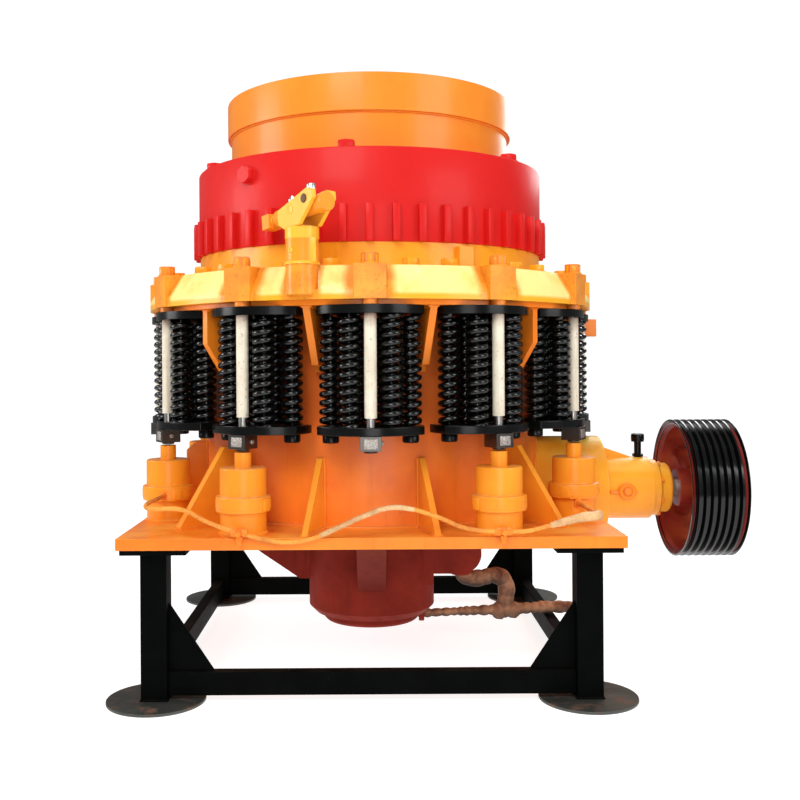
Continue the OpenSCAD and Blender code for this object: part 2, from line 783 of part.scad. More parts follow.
module housing_cap() {
  color([0.97, 0.58, 0.08]) translate([0, 0, drive_z]) rotate([0, 90, 0]) difference() {
    rotate_extrude($fn = round_n) polygon([[shaft_r + cap_gap_r, housing_x], [cap_r, housing_x],
      [cap_r, housing_x + 34], [cap_r - 16, housing_x + 44], [cap_r - 16, cap_x - 10],
      [cap_r - 26, cap_x], [shaft_r + cap_gap_r, cap_x]]);
  }
}

module bush(x) {
  difference() {
    x_cyl(housing_bore_r, x, x + bush_l);
    x_cyl(shaft_r + shaft_fit, x - 1, x + bush_l + 1);
  }
}

module shaft_bushes() {
  color([0.72, 0.52, 0.22]) translate([0, 0, drive_z]) {
    bush(housing_x0 + 20);
    bush(housing_x - bush_l);
  }
}

module breather() {
  color([0.10, 0.10, 0.10]) translate([breather_x, 0, housing_top - 2]) difference() {
    union() {
      cylinder(r = breather_r, h = breather_h + 4, $fn = small_n);
      translate([0, 0, breather_h + 2]) cylinder(r = breather_cap_r, h = breather_cap_h, $fn = small_n);
    }
    translate([-breather_x, 0, 2 - housing_top + drive_z]) x_cyl(housing_r, collar_x, housing_x);
  }
}

module oil_pipes() {
  u = (oil_end_z - oil_z) / (oil_end_x - cover_r);
  color([0.52, 0.36, 0.22]) difference() {
    union() {
      run([[cover_r - 30, 0, oil_z], [oil_tee_x, 0, oil_z + u * (oil_tee_x - cover_r)],
        [oil_end_x, 0, oil_end_z]], oil_r);
      translate([0, 0, oil_end_z]) x_cyl(union_r, oil_end_x, oil_end_x + union_l);
      run([[pocket_x - 40, 0, oil_top_z + 30], [pocket_x - 10, 0, oil_top_z], [oil_tee_x - 22, 0, oil_top_z],
        [oil_tee_x, 0, oil_top_z - 26], [oil_tee_x, 0, oil_z + u * (oil_tee_x - cover_r)]], oil_r);
    }
    pocket_body();
    translate([0, 0, cover_z0 - 40]) cylinder(r = cover_r, h = hub_z0 - cover_z0 + 80, $fn = round_n);
  }
}

// ---- hydraulic jacks ----
module jack_bodies() {
  color([0.98, 0.60, 0.07]) for (th = jack_ths) spin(th) out_at(rod_ring_r) {
    translate([0, 0, plate_z1]) cylinder(r = jack_r, h = jack_z1 - plate_z1, $fn = round_n);
    translate([0, 0, jack_collar_z]) cylinder(r = jack_collar_r, h = jack_collar_h, $fn = round_n);
  }
}

module jack_stems() {
  color([0.96, 0.55, 0.10]) for (th = jack_ths) spin(th) out_at(rod_ring_r, jack_z1)
    cylinder(r = jack_stem_r, h = jack_stem_z1 - jack_z1, $fn = small_n);
}

// The line is bent by hand: its points stay as chosen.
module hydraulic_line() {
  jx = rod_ring_r * sin(60);
  jy = -rod_ring_r * cos(60) - jack_r;
  ix = rod_ring_r * sin(30);
  iy = -rod_ring_r * cos(30) - jack_r;
  z0 = plate_z1;
  color([0.95, 0.55, 0.12]) difference() {
    union() {
      run([[-jx, jy + 10, z0 + 114], [-jx, line_y + 40, z0 + 114], [-jx + 34, line_y, z0 + 115],
        [-ix - 206, line_y, z0 + 109], [-ix - 121, line_y, z0 + 66], [-ix, line_y, z0 + line_tee_h],
        [-ix + 99, line_y, z0 - 2], [-ix + 174, line_y, z0 - 12], [-ix + 267, line_y, z0],
        [-ix + 342, line_y, z0 + 30], [-17, line_y, z0 + 87], [59, line_y, z0 + 114],
        [ix - 367, line_y, z0 + 112], [ix - 251, line_y, z0 + 81], [ix - 142, line_y, z0 + 37],
        [ix, line_y, z0 + line_tee_h], [ix + 93, line_y, z0 + 25], [ix + 168, line_y, z0 + 43],
        [jx - 60, line_y, z0 + 75], [jx, line_y + 24, z0 + 75], [jx, jy + 10, z0 + 73]], line_r);
      for (sx = [-1, 1]) translate([sx * ix, 0, z0 + line_tee_h]) {
        translate([0, iy + 6, 0]) rotate([90, 0, 0])
          cylinder(r = fitting_r * 0.72, h = iy + 6 - line_y, $fn = small_n);
        translate([-fitting_r, line_y, 0]) rotate([0, 90, 0])
          cylinder(r = fitting_r, h = 2 * fitting_r, $fn = small_n);
      }
    }
    for (c = [[-jx, 60, jack_collar_r], [-ix, 30, jack_r], [ix, 30, jack_r], [jx, 60, jack_r]])
      translate([c[0], -rod_ring_r * cos(c[1]), plate_z1])
        cylinder(r = c[2], h = jack_z1 - plate_z1, $fn = round_n);
  }
}

// ---- spring sets ----
module spring_plate_shape() {
  hw = spring_plate_hw;
  back = spring_plate_in - rod_ring_r;
  difference() {
    intersection() {
      translate([0, spring_plate_r - spring_plate_bow - rod_ring_r])
        circle(r = spring_plate_bow, $fn = round_n);
      translate([-hw, back]) square([2 * hw, spring_plate_r]);
      rib_edge();
      mirror([1, 0]) rib_edge();
    }
    children();
  }
}

module rib_edge() {
  k = (rib_t / 2 + spring_plate_gap) / cos(rib_th);
  r0 = spring_plate_in - 100;
  r1 = spring_plate_r + 100;
  polygon([[-spring_plate_r, r0 - rod_ring_r], [r0 * tan(rib_th) - k, r0 - rod_ring_r],
    [r1 * tan(rib_th) - k, r1 - rod_ring_r], [-spring_plate_r, r1 - rod_ring_r]]);
}

module spring_plate(z, hole) {
  translate([0, 0, z]) rotate([0, 0, 180]) linear_extrude(spring_plate_t)
    spring_plate_shape() circle(r = hole, $fn = small_n);
}

module spring_top_plates() {
  color([0.13, 0.14, 0.16]) sets() out_at(rod_ring_r) spring_plate(top_plate_z, notch_r);
}

module spring_bottom_plates() {
  color([0.13, 0.14, 0.16]) sets() out_at(rod_ring_r) spring_plate(low_plate_z, rod_r);
}

module coil_springs() {
  n = 2 * coil_n;
  outer = [for (i = [0 : n]) [i % 2 == 0 ? coil_low : coil_r, coil_h * i / n]];
  color([0.10, 0.12, 0.10]) sets() for (c = coils) translate([c[0], -c[1], low_plate_z1])
    rotate_extrude($fn = small_n) polygon(concat(outer, [[coil_in, coil_h], [coil_in, 0]]));
}

module tie_rods() {
  color([0.78, 0.78, 0.76]) sets() out_at(rod_ring_r) {
    translate([0, 0, rod_z0]) cylinder(r = rod_r, h = rod_z1 - rod_z0, $fn = small_n);
    translate([0, 0, flange_z]) cylinder(r = rod_collar_r, h = ring_z0 - flange_z, $fn = small_n);
    translate([0, 0, rod_z1]) hex(head_w, head_h);
  }
}

module rod_nuts() {
  color([0.62, 0.62, 0.62]) sets() out_at(rod_ring_r) difference() {
    translate([-nut_w / 2, -nut_w / 2, low_plate_z - nut_h]) cube([nut_w, nut_w, nut_h]);
    translate([0, 0, rod_z0]) cylinder(r = rod_r, h = nut_h + 20, $fn = small_n);
  }
}

// ---- support ring and clamp ring ----
module ring_outline() {
  polygon([[ring_bore_r, recess_z], [recess_r, recess_z], [recess_r, ring_z0], [ring_r, ring_z0],
    [ring_r, ring_cone_z], [ring_top_r, ring_z1], [ring_bore_r, ring_z1]]);
}

module support_ring() {
  color([0.98, 0.80, 0.08]) difference() {
    union() {
      rotate_extrude($fn = round_n) ring_outline();
      sets() translate([-rod_boss_w / 2, -rod_boss_r, ring_z0])
        cube([rod_boss_w, rod_boss_r - ring_bore_r - boss_in, ring_z1 - ring_z0]);
      for (a = [0, 180]) spin(ram_th + a)
        translate([-ram_boss_w / 2, -(ram_post_ring + ram_post_r), ring_cone_z])
          cube([ram_boss_w, ram_post_ring + ram_post_r - ring_bore_r - boss_in, ring_z1 - ring_cone_z]);
    }
    translate([0, 0, ring_z0 - 1]) cylinder(r = recess_r, h = recess_z - ring_z0 + 1, $fn = round_n);
    sets() out_at(rod_ring_r, ring_z0 - 1) cylinder(r = rod_r, h = ring_z1 - ring_z0 + 2, $fn = small_n);
  }
}

module ring_bolts() {
  color([0.95, 0.78, 0.10]) sets() for (s = [-1, 1]) spin(s * ring_bolt_step)
    out_at(ring_bolt_ring_r, ring_z1) rotate([0, 0, 30]) hex(ring_bolt_w, ring_bolt_h);
}

module clamp_ring() {
  color([0.98, 0.76, 0.08]) {
    ring(clamp_r, ring_bore_r, ring_z1, clamp_z1);
    spin(key_th) difference() {
      translate([-key_w / 2, -clamp_r - key_out, ring_z1])
        cube([key_w, key_out + 40, clamp_z1 - ring_z1 - 14]);
      rotate([0, 0, -key_th]) translate([0, 0, ring_z1 - 1])
        cylinder(r = clamp_r - 8, h = clamp_z1 - ring_z1 + 2, $fn = round_n);
    }
  }
}

// ---- adjustment rams ----
module rams() { for (a = [0, 180]) spin(ram_th + a) out_at(ram_post_ring) children(); }
module ram_frame() { translate([0, 0, ram_z]) rotate([0, 0, ram_aim - ram_th]) children(); }

module ram_posts() {
  color([0.97, 0.66, 0.10]) rams() translate([0, 0, ring_z1])
    cylinder(r = ram_post_r, h = ram_post_z1 - ring_z1, $fn = round_n);
}

module ram_clevises() {
  h = ram_z - ram_post_z1;
  color([0.90, 0.36, 0.12]) rams() ram_frame() for (s = [-1, 1])
    translate([0, s * clevis_off + clevis_t / 2, 0]) rotate([90, 0, 0]) linear_extrude(clevis_t)
      difference() {
        polygon([[85, 12], [85, 24 - h], [48, -h], [-48, -h], [-145, 13], [-145, 42], [-110, 56]]);
        circle(r = ram_pin_r, $fn = small_n);
      }
}

module ram_cylinders() {
  color([0.93, 0.50, 0.14]) rams() ram_frame() {
    x_cyl(ram_r, -ram_back, ram_front);
    x_cyl(ram_rod_r, ram_front - 5, ram_head_t + 5);
    translate([ram_head_t, -ram_head_w / 2, -ram_head_w / 2]) cube([ram_head_l, ram_head_w, ram_head_w]);
    rotate([90, 0, 0]) translate([0, 0, -clevis_off - clevis_t / 2])
      cylinder(r = ram_pin_r, h = 2 * clevis_off + clevis_t, $fn = small_n);
  }
}

// ---- adjustment cap and hopper ----
module adjustment_cap() {
  color([0.86, 0.12, 0.08]) {
    difference() {
      union() {
        translate([0, 0, cap_z0]) cylinder(r = cap_body_r, h = cap_z1 - cap_z0, $fn = round_n);
        for (i = [0 : lug_n - 1]) spin(i * 360 / lug_n)
          translate([-lug_w / 2, -lug_r, cap_z0]) cube([lug_w, lug_r - cap_body_r + 20, lug_z1 - cap_z0]);
      }
      translate([0, 0, cap_z0 - 1])
        cylinder(r = cap_body_r - cap_wall, h = cap_top_z - cap_z0 + 1, $fn = round_n);
      translate([0, 0, cap_z0]) cylinder(r = cap_bore_r, h = cap_z1, $fn = round_n);
    }
  }
}

module cap_bolts() {
  color([0.80, 0.16, 0.10]) {
    for (i = [0 : 5]) spin(cap_bolt_th + 60 * i) out_at(cap_bolt_ring_r, cap_z1)
      hex(cap_bolt_w, cap_bolt_h);
    spin(side_bolt_th) difference() {
      translate([0, -cap_body_r + 6, side_bolt_z]) rotate([90, 0, 0]) hex(cap_bolt_w, cap_bolt_h);
      translate([0, 0, cap_z0]) cylinder(r = cap_body_r, h = cap_z1 - cap_z0 - 1, $fn = round_n);
    }
  }
}

module hopper_drum() {
  color([0.98, 0.62, 0.10]) ring(drum_r, drum_r - drum_t, cap_z1, drum_z1);
}

module hopper_rim() {
  color([0.98, 0.60, 0.08]) ring(drum_r + hopper_rim_t, drum_r, hopper_rim_z0, hopper_rim_z1);
}

// ---- crushing chamber ----
module bowl() {
  color([0.35, 0.30, 0.27]) rotate_extrude($fn = round_n)
    polygon([[bowl_in_low, bowl_z0], [bowl_r, bowl_z0], [bowl_r, cap_top_z], [bowl_in_high, cap_top_z]]);
}

module bowl_liner() {
  color([0.30, 0.29, 0.28]) rotate_extrude($fn = round_n)
    polygon([[bowl_in_low - liner_low_t, bowl_z0], [bowl_in_low, bowl_z0], [bowl_in_high, cap_top_z],
      [bowl_in_high - liner_high_t, cap_top_z]]);
}

module head_seat() {
  color([0.40, 0.36, 0.32]) rotate_extrude($fn = round_n)
    polygon([[0, hub_z1], [seat_r - 40, hub_z1], [seat_r, hub_z1 + 60], [seat_r, seat_z1], [0, seat_z1]]);
}

module crusher_head() {
  color([0.33, 0.32, 0.31]) rotate_extrude($fn = round_n)
    polygon([[0, seat_z1], [seat_r, seat_z1], [head_r - 20, head_z - 10], [head_r, head_z],
      [head_neck_r, head_neck_z], [head_neck_r - 20, feed_plate_z], [0, feed_plate_z]]);
}

module feed_plate() {
  color([0.42, 0.40, 0.38]) translate([0, 0, feed_plate_z])
    cylinder(r = feed_plate_r, h = feed_plate_t, $fn = round_n);
}

// ---- countershaft and pulley ----
module countershaft() {
  color([0.70, 0.70, 0.70]) translate([0, 0, drive_z]) x_cyl(shaft_r, shaft_x0, pulley_x1);
}

module pulley() {
  w = groove_w / 2;
  f = groove_floor / 2;
  grooves = [for (i = [0 : groove_n - 1]) let (m = pulley_x + groove_pitch * (i + 0.5))
    each [[pulley_r, m - w], [pulley_r - groove_d, m - f], [pulley_r - groove_d, m + f], [pulley_r, m + w]]];
  color([0.55, 0.10, 0.08]) translate([0, 0, drive_z]) {
    rotate([0, 90, 0]) rotate_extrude($fn = round_n)
      polygon(concat([[rim_in, pulley_x], [pulley_r, pulley_x]], grooves,
        [[pulley_r, pulley_x1], [rim_in, pulley_x1]]));
    difference() {
      union() {
        x_cyl(pulley_hub_r, pulley_x + 20, pulley_x1 - 20);
        for (i = [0 : pulley_arm_n - 1]) rotate([i * 360 / pulley_arm_n, 0, 0])
          translate([pulley_mid - pulley_arm_t / 2, -pulley_arm_w / 2, 0])
            cube([pulley_arm_t, pulley_arm_w, rim_in + 8]);
      }
      x_cyl(shaft_r, pulley_x - 1, pulley_x1 + 1);
    }
  }
}

foot_discs();
legs();
leg_gussets();
leg_pads();
rails();
base_plate();
frame_shell();
frame_flange();
flange_ribs();
base_gussets();
hub_and_arms();
hub_cover();
drive_collar();
countershaft_housing();
housing_cap();
shaft_bushes();
breather();
oil_pipes();
jack_bodies();
jack_stems();
hydraulic_line();
spring_top_plates();
coil_springs();
head_seat();
crusher_head();
feed_plate();
side_lug();
support_ring();
ring_bolts();
clamp_ring();
tie_rods();
rod_nuts();
spring_bottom_plates();
ram_posts();
ram_clevises();
ram_cylinders();
adjustment_cap();
cap_bolts();
hopper_drum();
hopper_rim();
bowl();
bowl_liner();
countershaft();
pulley();
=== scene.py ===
"""Spring cone crusher on a steel stand: finishes, helical springs, fasteners, welds, pipes and stage,
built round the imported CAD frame. Metres, +Z up, +X to the drive pulley, the front is -Y."""

import json
import math

import bpy
from mathutils import Matrix, Vector

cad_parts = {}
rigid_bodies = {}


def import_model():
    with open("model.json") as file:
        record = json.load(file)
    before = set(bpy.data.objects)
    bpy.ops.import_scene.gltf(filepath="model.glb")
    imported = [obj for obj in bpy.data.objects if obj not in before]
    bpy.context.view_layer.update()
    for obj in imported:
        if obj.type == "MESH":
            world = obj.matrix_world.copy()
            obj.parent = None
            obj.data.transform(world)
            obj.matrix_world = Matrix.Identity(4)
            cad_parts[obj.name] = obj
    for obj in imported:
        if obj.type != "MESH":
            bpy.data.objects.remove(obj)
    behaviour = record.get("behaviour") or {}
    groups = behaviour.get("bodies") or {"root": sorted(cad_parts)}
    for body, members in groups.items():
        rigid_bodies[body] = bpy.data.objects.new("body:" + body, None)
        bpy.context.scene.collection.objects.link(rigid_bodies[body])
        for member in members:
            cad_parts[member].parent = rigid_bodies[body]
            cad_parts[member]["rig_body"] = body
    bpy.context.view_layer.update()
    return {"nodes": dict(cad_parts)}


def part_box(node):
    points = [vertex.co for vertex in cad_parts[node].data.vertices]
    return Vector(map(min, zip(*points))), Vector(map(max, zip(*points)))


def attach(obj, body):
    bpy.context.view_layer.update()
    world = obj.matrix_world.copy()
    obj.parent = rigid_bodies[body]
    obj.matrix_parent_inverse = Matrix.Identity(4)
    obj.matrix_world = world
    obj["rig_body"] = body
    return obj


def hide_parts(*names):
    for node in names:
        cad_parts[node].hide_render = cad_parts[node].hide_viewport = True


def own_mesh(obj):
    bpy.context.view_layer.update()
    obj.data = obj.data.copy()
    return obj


bl_info = {
    "name": "Spring cone crusher",
    "version": (1, 0, 0),
    "blender": (4, 5, 0),
    "location": "View3D > Sidebar > Crusher",
    "description": "Dresses the CAD frame of a spring cone crusher with finishes and small parts",
    "category": "Object",
}

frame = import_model()
NODES = frame["nodes"]


def box(node):
    """The lowest and highest corners of a CAD node."""
    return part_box(node)


# ---- Sizes taken from the frame; a ..._RING is how far out from the crusher's axis parts stand ----
AXIS_Z = sum(c[2] for c in box("countershaft")) / 2
SHAFT_R = box("countershaft")[1][1]
SHELL_R = box("frame_shell")[1][1]
COVER_R = box("hub_cover")[1][0]
DRUM_R = box("hopper_drum")[1][0]
ROD_RING = box("frame_flange")[1][0] + 0.015
FLANGE_LOW = box("frame_flange")[0][2]
RING_TOP = box("ring_bolts")[0][2]
CAP_TOP = box("hopper_drum")[0][2]
SPRING_LOW, SPRING_TOP = (corner[2] for corner in box("coil_springs"))
PLATE_TOP = box("base_plate")[1][2]

# ---- Sizes of the machine's own pattern ----
SETS = 12  # spring sets, tie rods and bosses round the ring
SET_STEP = 360 / SETS
RING_BOLT_RING, CAP_BOLT_RING = 0.893, 0.736
POST_R, POST_RING, POST_TURNS = 0.062, 0.975, (-15, 165)  # the rams' posts, in degrees from the front
RAM_Z, RAM_AIM, RAM_RISE = 1.866, 143.9, 6.0  # height at the post, bearing and tilt in degrees
ROD_R, SLIM_ROD_R = 0.025, 0.0170  # tie rods as in the CAD, and inside their spacer tubes
SLEEVE_R, SLEEVE_BORE = 0.0234, 0.0182
COIL_R, NEST_R = 0.045, 0.042  # outside of a coil, and that less the gap round its nested coil
COIL_SPOTS = [(side * aside, out) for side in (1, -1)
              for aside, out in ((0.079, 0.950), (0.152, 0.868), (0.053, 0.840))]
STUD_SPOT = COIL_SPOTS[1]  # the outermost coil's, under which the plates carry a stud
LUGS, LUG_TOP = 48, PLATE_TOP + 1.272  # upright lugs round the cap


# ---- Sizes and colours a user may change ----
class CrusherPaint(bpy.types.PropertyGroup):
    """Colours of the paints"""

    orange: bpy.props.FloatVectorProperty(
        name="Orange enamel", description="Frame, drive and hopper", subtype="COLOR",
        default=(0.90, 0.255, 0.016), size=3, min=0, max=1)
    yellow: bpy.props.FloatVectorProperty(
        name="Yellow enamel", description="Support ring and clamp ring", subtype="COLOR",
        default=(0.92, 0.40, 0.016), size=3, min=0, max=1)
    red: bpy.props.FloatVectorProperty(
        name="Red enamel", description="Adjustment cap", subtype="COLOR",
        default=(0.66, 0.013, 0.011), size=3, min=0, max=1)
    primer: bpy.props.FloatVectorProperty(
        name="Red primer", description="Hub and arms under the plate", subtype="COLOR",
        default=(0.280, 0.030, 0.018), size=3, min=0, max=1)
    black: bpy.props.FloatVectorProperty(
        name="Black enamel", description="Stand, springs, plates and pulley", subtype="COLOR",
        default=(0.0014, 0.0018, 0.0016), size=3, min=0, max=1)


class CrusherSizes(bpy.types.PropertyGroup):
    """Sizes of the small parts"""

    wire: bpy.props.FloatProperty(
        name="Spring wire", description="Thickness of the spring wire", default=0.024,
        min=0.01, max=0.026, unit="LENGTH")
    turns: bpy.props.IntProperty(
        name="Spring turns", description="Turns in each coil spring", default=13, min=6, max=18)
    ease: bpy.props.FloatProperty(
        name="Eased edge", description="Rounding of plate and casting edges", default=0.003,
        min=0.0005, max=0.008, unit="LENGTH")
    weld: bpy.props.FloatProperty(
        name="Weld bead", description="Leg of the fillet welds", default=0.009,
        min=0.003, max=0.016, unit="LENGTH")


def paint():
    return bpy.context.scene.crusher_paint


def sizes():
    return bpy.context.scene.crusher_sizes


# ---- Shader maths ----
class Value:
    """A shader socket that takes part in arithmetic."""

    def __init__(self, finish, socket):
        self.finish, self.socket = finish, socket

    def maths(self, operation, *terms, clamp=False):
        node = self.finish.tree.nodes.new("ShaderNodeMath")
        node.operation, node.use_clamp = operation, clamp
        for slot, term in zip(node.inputs, terms):
            self.finish.feed(slot, term)
        return Value(self.finish, node.outputs[0])

    def __add__(self, other):
        return self.maths("ADD", self, other)

    __radd__ = __add__

    def __sub__(self, other):
        return self.maths("SUBTRACT", self, other)

    def __rsub__(self, other):
        return self.maths("SUBTRACT", other, self)

    def __mul__(self, other):
        return self.maths("MULTIPLY", self, other)

    __rmul__ = __mul__

    def sine(self):
        return self.maths("SINE", self)

    def capped(self):
        """No more than 1."""
        return self.maths("MINIMUM", self, 1.0)

    def ramp(self, low, high):
        """0 below low, 1 above high, straight between."""
        return self.maths("MULTIPLY", self - low, 1.0 / (high - low), clamp=True)


class Finish:
    """One procedural material: nodes are added with node(), and surface() ends it."""

    def __init__(self, name):
        self.material = bpy.data.materials.new(name)
        self.material.use_nodes = True
        self.tree = self.material.node_tree
        self.tree.nodes.clear()

    def feed(self, socket, value):
        if isinstance(value, Value):
            self.tree.links.new(value.socket, socket)
        elif value is not None:
            if isinstance(value, tuple) and len(value) == 3 and socket.type == "RGBA":
                value = (*value, 1.0)
            socket.default_value = value

    def node(self, kind, settings=None, sockets=None, out=0):
        """A node of the kind, with its settings and the values or links of its sockets."""
        node = self.tree.nodes.new(kind)
        for key, value in (settings or {}).items():
            setattr(node, key, value)
        for key, value in (sockets or {}).items():
            self.feed(node.inputs[key], value)
        return Value(self, node.outputs[out])

    def coordinates(self):
        return self.node("ShaderNodeTexCoord", out="Object")

    def axis(self, letter):
        return self.node("ShaderNodeSeparateXYZ", sockets={0: self.coordinates()}, out=letter)

    def facing_up(self):
        """1 on top faces, 0 on upright ones, -1 on undersides."""
        normal = self.node("ShaderNodeNewGeometry", out="Normal")
        return self.node("ShaderNodeSeparateXYZ", sockets={0: normal}, out="Z")

    def noise(self, scale, detail=3.0, rough=0.55, squeeze=(1, 1, 1), warp=0.0):
        """Cloudy noise; squeeze makes it finer along an axis, so that it draws runs or rings."""
        place = self.node("ShaderNodeMapping", sockets={"Vector": self.coordinates(), "Scale": squeeze})
        return self.node("ShaderNodeTexNoise", sockets={
            "Vector": place, "Scale": scale, "Detail": detail, "Roughness": rough, "Distortion": warp})

    def blend(self, mask, a, b):
        """Colour a where the mask is 0, turning to b where it is 1."""
        return self.node("ShaderNodeMix", {"data_type": "RGBA"}, {0: mask, 6: a, 7: b}, out=2)

    def bump(self, height, strength, depth):
        return self.node("ShaderNodeBump", sockets={
            "Strength": strength, "Distance": depth, "Height": height})

    def surface(self, colour, rough, normal=None, metal=0.0, coat=0.0, coat_rough=0.1, specular=0.5,
                glow=0.0):
        shader = self.node("ShaderNodeBsdfPrincipled", sockets={
            "Base Color": colour, "Roughness": rough, "Metallic": metal, "Coat Weight": coat,
            "Coat Roughness": coat_rough, "Specular IOR Level": specular, "Normal": normal,
            "Emission Color": (1.0, 1.0, 1.0), "Emission Strength": glow})
        end = self.tree.nodes.new("ShaderNodeOutputMaterial")
        self.tree.links.new(shader.socket, end.inputs[0])
        return self.material


def shade(colour, factor):
    return tuple(c * factor for c in colour)


# ---- Colours that aren't a user's: dust, stains, painted highlights, painted shade and the finishes of single pieces ----
# the second and third colours are painted highlights for top faces; the first and last are dust
DUST, YELLOW_TOP_HIGHLIGHT, PALE_TOP_HIGHLIGHT, BLACK_DUST = (
    (0.56, 0.41, 0.26), (0.96, 0.46, 0.08), (0.98, 0.74, 0.16), (0.10, 0.085, 0.065))
CHIP, BLACK_CHIP, FLASH_RUST, OLD_RUST, NUT_STAIN = (
    (0.10, 0.045, 0.025), (0.05, 0.033, 0.025), (0.20, 0.095, 0.045), (0.23, 0.085, 0.03),
    (0.22, 0.13, 0.08))
# on the next line: the first colour darkens the rods' feet, the second is painted shade under the
# lagged pipes, and the third darkens the sleeves' tops
ROD_FOOT_DARK, PIPE_UNDERSIDE_SHADE, TUBE_TOP_DARK, TUBE_RUST = (
    (0.02, 0.018, 0.016), (0.022, 0.012, 0.010), (0.16, 0.05, 0.03), (0.13, 0.06, 0.03))
# the first colour is painted shade, red-brown, laid on the shell between the spring sets
SHADE_RED_BROWN, OVERSPRAY, PIT = (0.58, 0.066, 0.026), (0.55, 0.12, 0.02), (0.42, 0.13, 0.012)
BARE_STEEL, GREY_STEEL, PLATED, MANGANESE = (
    (0.62, 0.60, 0.56), (0.42, 0.40, 0.38), (0.86, 0.86, 0.84), (0.17, 0.155, 0.14))


# ---- Finishes ----
def enamel(name, colour, deep, cast=0.0, top_share=0.45, matt=0.3, runs=0.5, wear=0.012, specular=0.22,
           coat=0.12, above=None, dust_and_highlight=DUST):
    """Brushed-on machine enamel: uneven tone, vertical runs, a dusting on top faces, small chips; in
    the base plate's and the drive's finishes the top patches are a painted highlight.

    matt is the roughness. above is (low, high, share): between the two heights the paint turns
    red-brown by that share: a painted shade, as the spring sets cast on the shell.
    """
    f = Finish(name)
    up = f.facing_up()
    tone = f.noise(1.7, 4.0, 0.6)
    cloud = f.noise(7.0, 3.0, 0.55, warp=0.4)
    run = f.noise(1.0, 3.0, 0.6, squeeze=(34, 34, 1.6))
    base = f.blend(tone.ramp(0.36, 0.72) * 0.55 + cloud.ramp(0.4, 0.75) * 0.25, colour, deep)
    streaks = run.ramp(0.58, 0.74) * (1.0 - up.ramp(0.3, 0.8)) * runs
    base = f.blend(streaks * 0.45, base, shade(deep, 0.62))
    # painted shade: red-brown between the two heights, where the spring sets shade the shell
    if above:
        high = (f.axis("Z") + cloud * 0.30 - 0.15).ramp(*above[:2])
        base = f.blend(high * above[2], base, SHADE_RED_BROWN)
    # top patches: dust for most finishes, and a painted highlight where the top colour is a pale one
    top_noise = f.noise(5.0, 5.0, 0.65)
    top_patches = up.ramp(0.55, 0.98) * top_noise.ramp(0.38, 0.72) * top_share
    base = f.blend(top_patches, base, dust_and_highlight)
    speck = f.noise(46.0, 4.0, 0.7)
    chips = speck.ramp(0.735 - wear, 0.75 - wear)
    base = f.blend(chips * 0.7, base, CHIP)
    grit = f.noise(150.0, 2.0, 0.5)
    lump = f.noise(38.0, 4.0, 0.6)
    height = grit * 0.25 + lump * cast + run * 0.25 * runs - chips * 0.5
    normal = f.bump(height, 0.35, 0.0012 + 0.0022 * cast)
    rough = cloud * 0.14 + matt - 0.05 + top_patches * 0.4 + chips * 0.3
    return f.surface(base, rough, normal, coat=coat, coat_rough=0.14, specular=specular)


def black_enamel(name, matt=0.24, top_share=0.12, coat=0.06, specular=0.2):
    """Thick black enamel, dusted on top and chipped to brown steel."""
    f = Finish(name)
    colour = tuple(paint().black)
    up = f.facing_up()
    cloud = f.noise(9.0, 4.0, 0.6)
    base = f.blend(cloud.ramp(0.4, 0.75) * 0.5, colour, shade(colour, 2.4))
    top_patches = up.ramp(0.5, 0.98) * f.noise(6.0, 5.0, 0.65).ramp(0.36, 0.7) * top_share
    base = f.blend(top_patches, base, BLACK_DUST)
    chips = f.noise(52.0, 4.0, 0.7).ramp(0.715, 0.735)
    base = f.blend(chips * 0.4, base, BLACK_CHIP)
    normal = f.bump(f.noise(120.0, 2.0) * 0.4 + cloud * 0.6, 0.25, 0.0012)
    rough = cloud * 0.16 + matt - 0.06 + top_patches * 0.4
    return f.surface(base, rough, normal, coat=coat, coat_rough=0.12, specular=specular)


def turned_steel(name, painted_above=None, rings=420.0, tint=BARE_STEEL, dark_below=None):
    """Lathe-turned bar with faint rings and stains; heights say where paint begins and where the bar
    turns dark below.
    """
    f = Finish(name)
    z = f.axis("Z")
    ring = f.noise(1.0, 2.0, 0.5, squeeze=(5, 5, rings))
    stain = f.noise(8.0, 5.0, 0.7)
    spot = f.noise(60.0, 3.0, 0.7).ramp(0.66, 0.76)
    steel = f.blend(stain.ramp(0.45, 0.8) * 0.55, tint, shade(tint, 0.55))
    steel = f.blend(spot * 0.55, steel, FLASH_RUST)
    rough = ring * 0.18 + 0.22 + spot * 0.3
    metal = 1.0 - spot * 0.6
    if painted_above is not None:
        edge = f.noise(16.0, 3.0) * 0.012 + z
        cover = edge.ramp(painted_above + 0.004, painted_above + 0.006)
        steel = f.blend(cover, steel, f.blend(stain.ramp(0.35, 0.7), tuple(paint().orange),
                                              shade(paint().orange, 0.7)))
        metal = metal * (1.0 - cover)
        rough = rough + cover * 0.08
    # below the given height, under the spring plates, the bar turns dark
    if dark_below:
        low = z.ramp(dark_below + 0.002, dark_below - 0.002)
        steel, metal = f.blend(low, steel, ROD_FOOT_DARK), metal * (1.0 - low * 0.8)
    normal = f.bump(ring * 0.5 + stain * 0.3, 0.25, 0.0006)
    return f.surface(steel, rough, normal, metal=metal)


def stamped_steel(name):
    """Nut faces peened and stained, light on the high spots."""
    f = Finish(name)
    dent = f.noise(320.0, 2.0, 0.6)
    stain = f.noise(26.0, 4.0, 0.7)
    base = f.blend(dent.ramp(0.38, 0.6), (0.16, 0.13, 0.11), (0.60, 0.56, 0.52))
    base = f.blend(stain.ramp(0.5, 0.7) * 0.5, base, NUT_STAIN)
    return f.surface(base, stain * 0.2 + 0.3, f.bump(dent, 0.7, 0.003), metal=0.8)


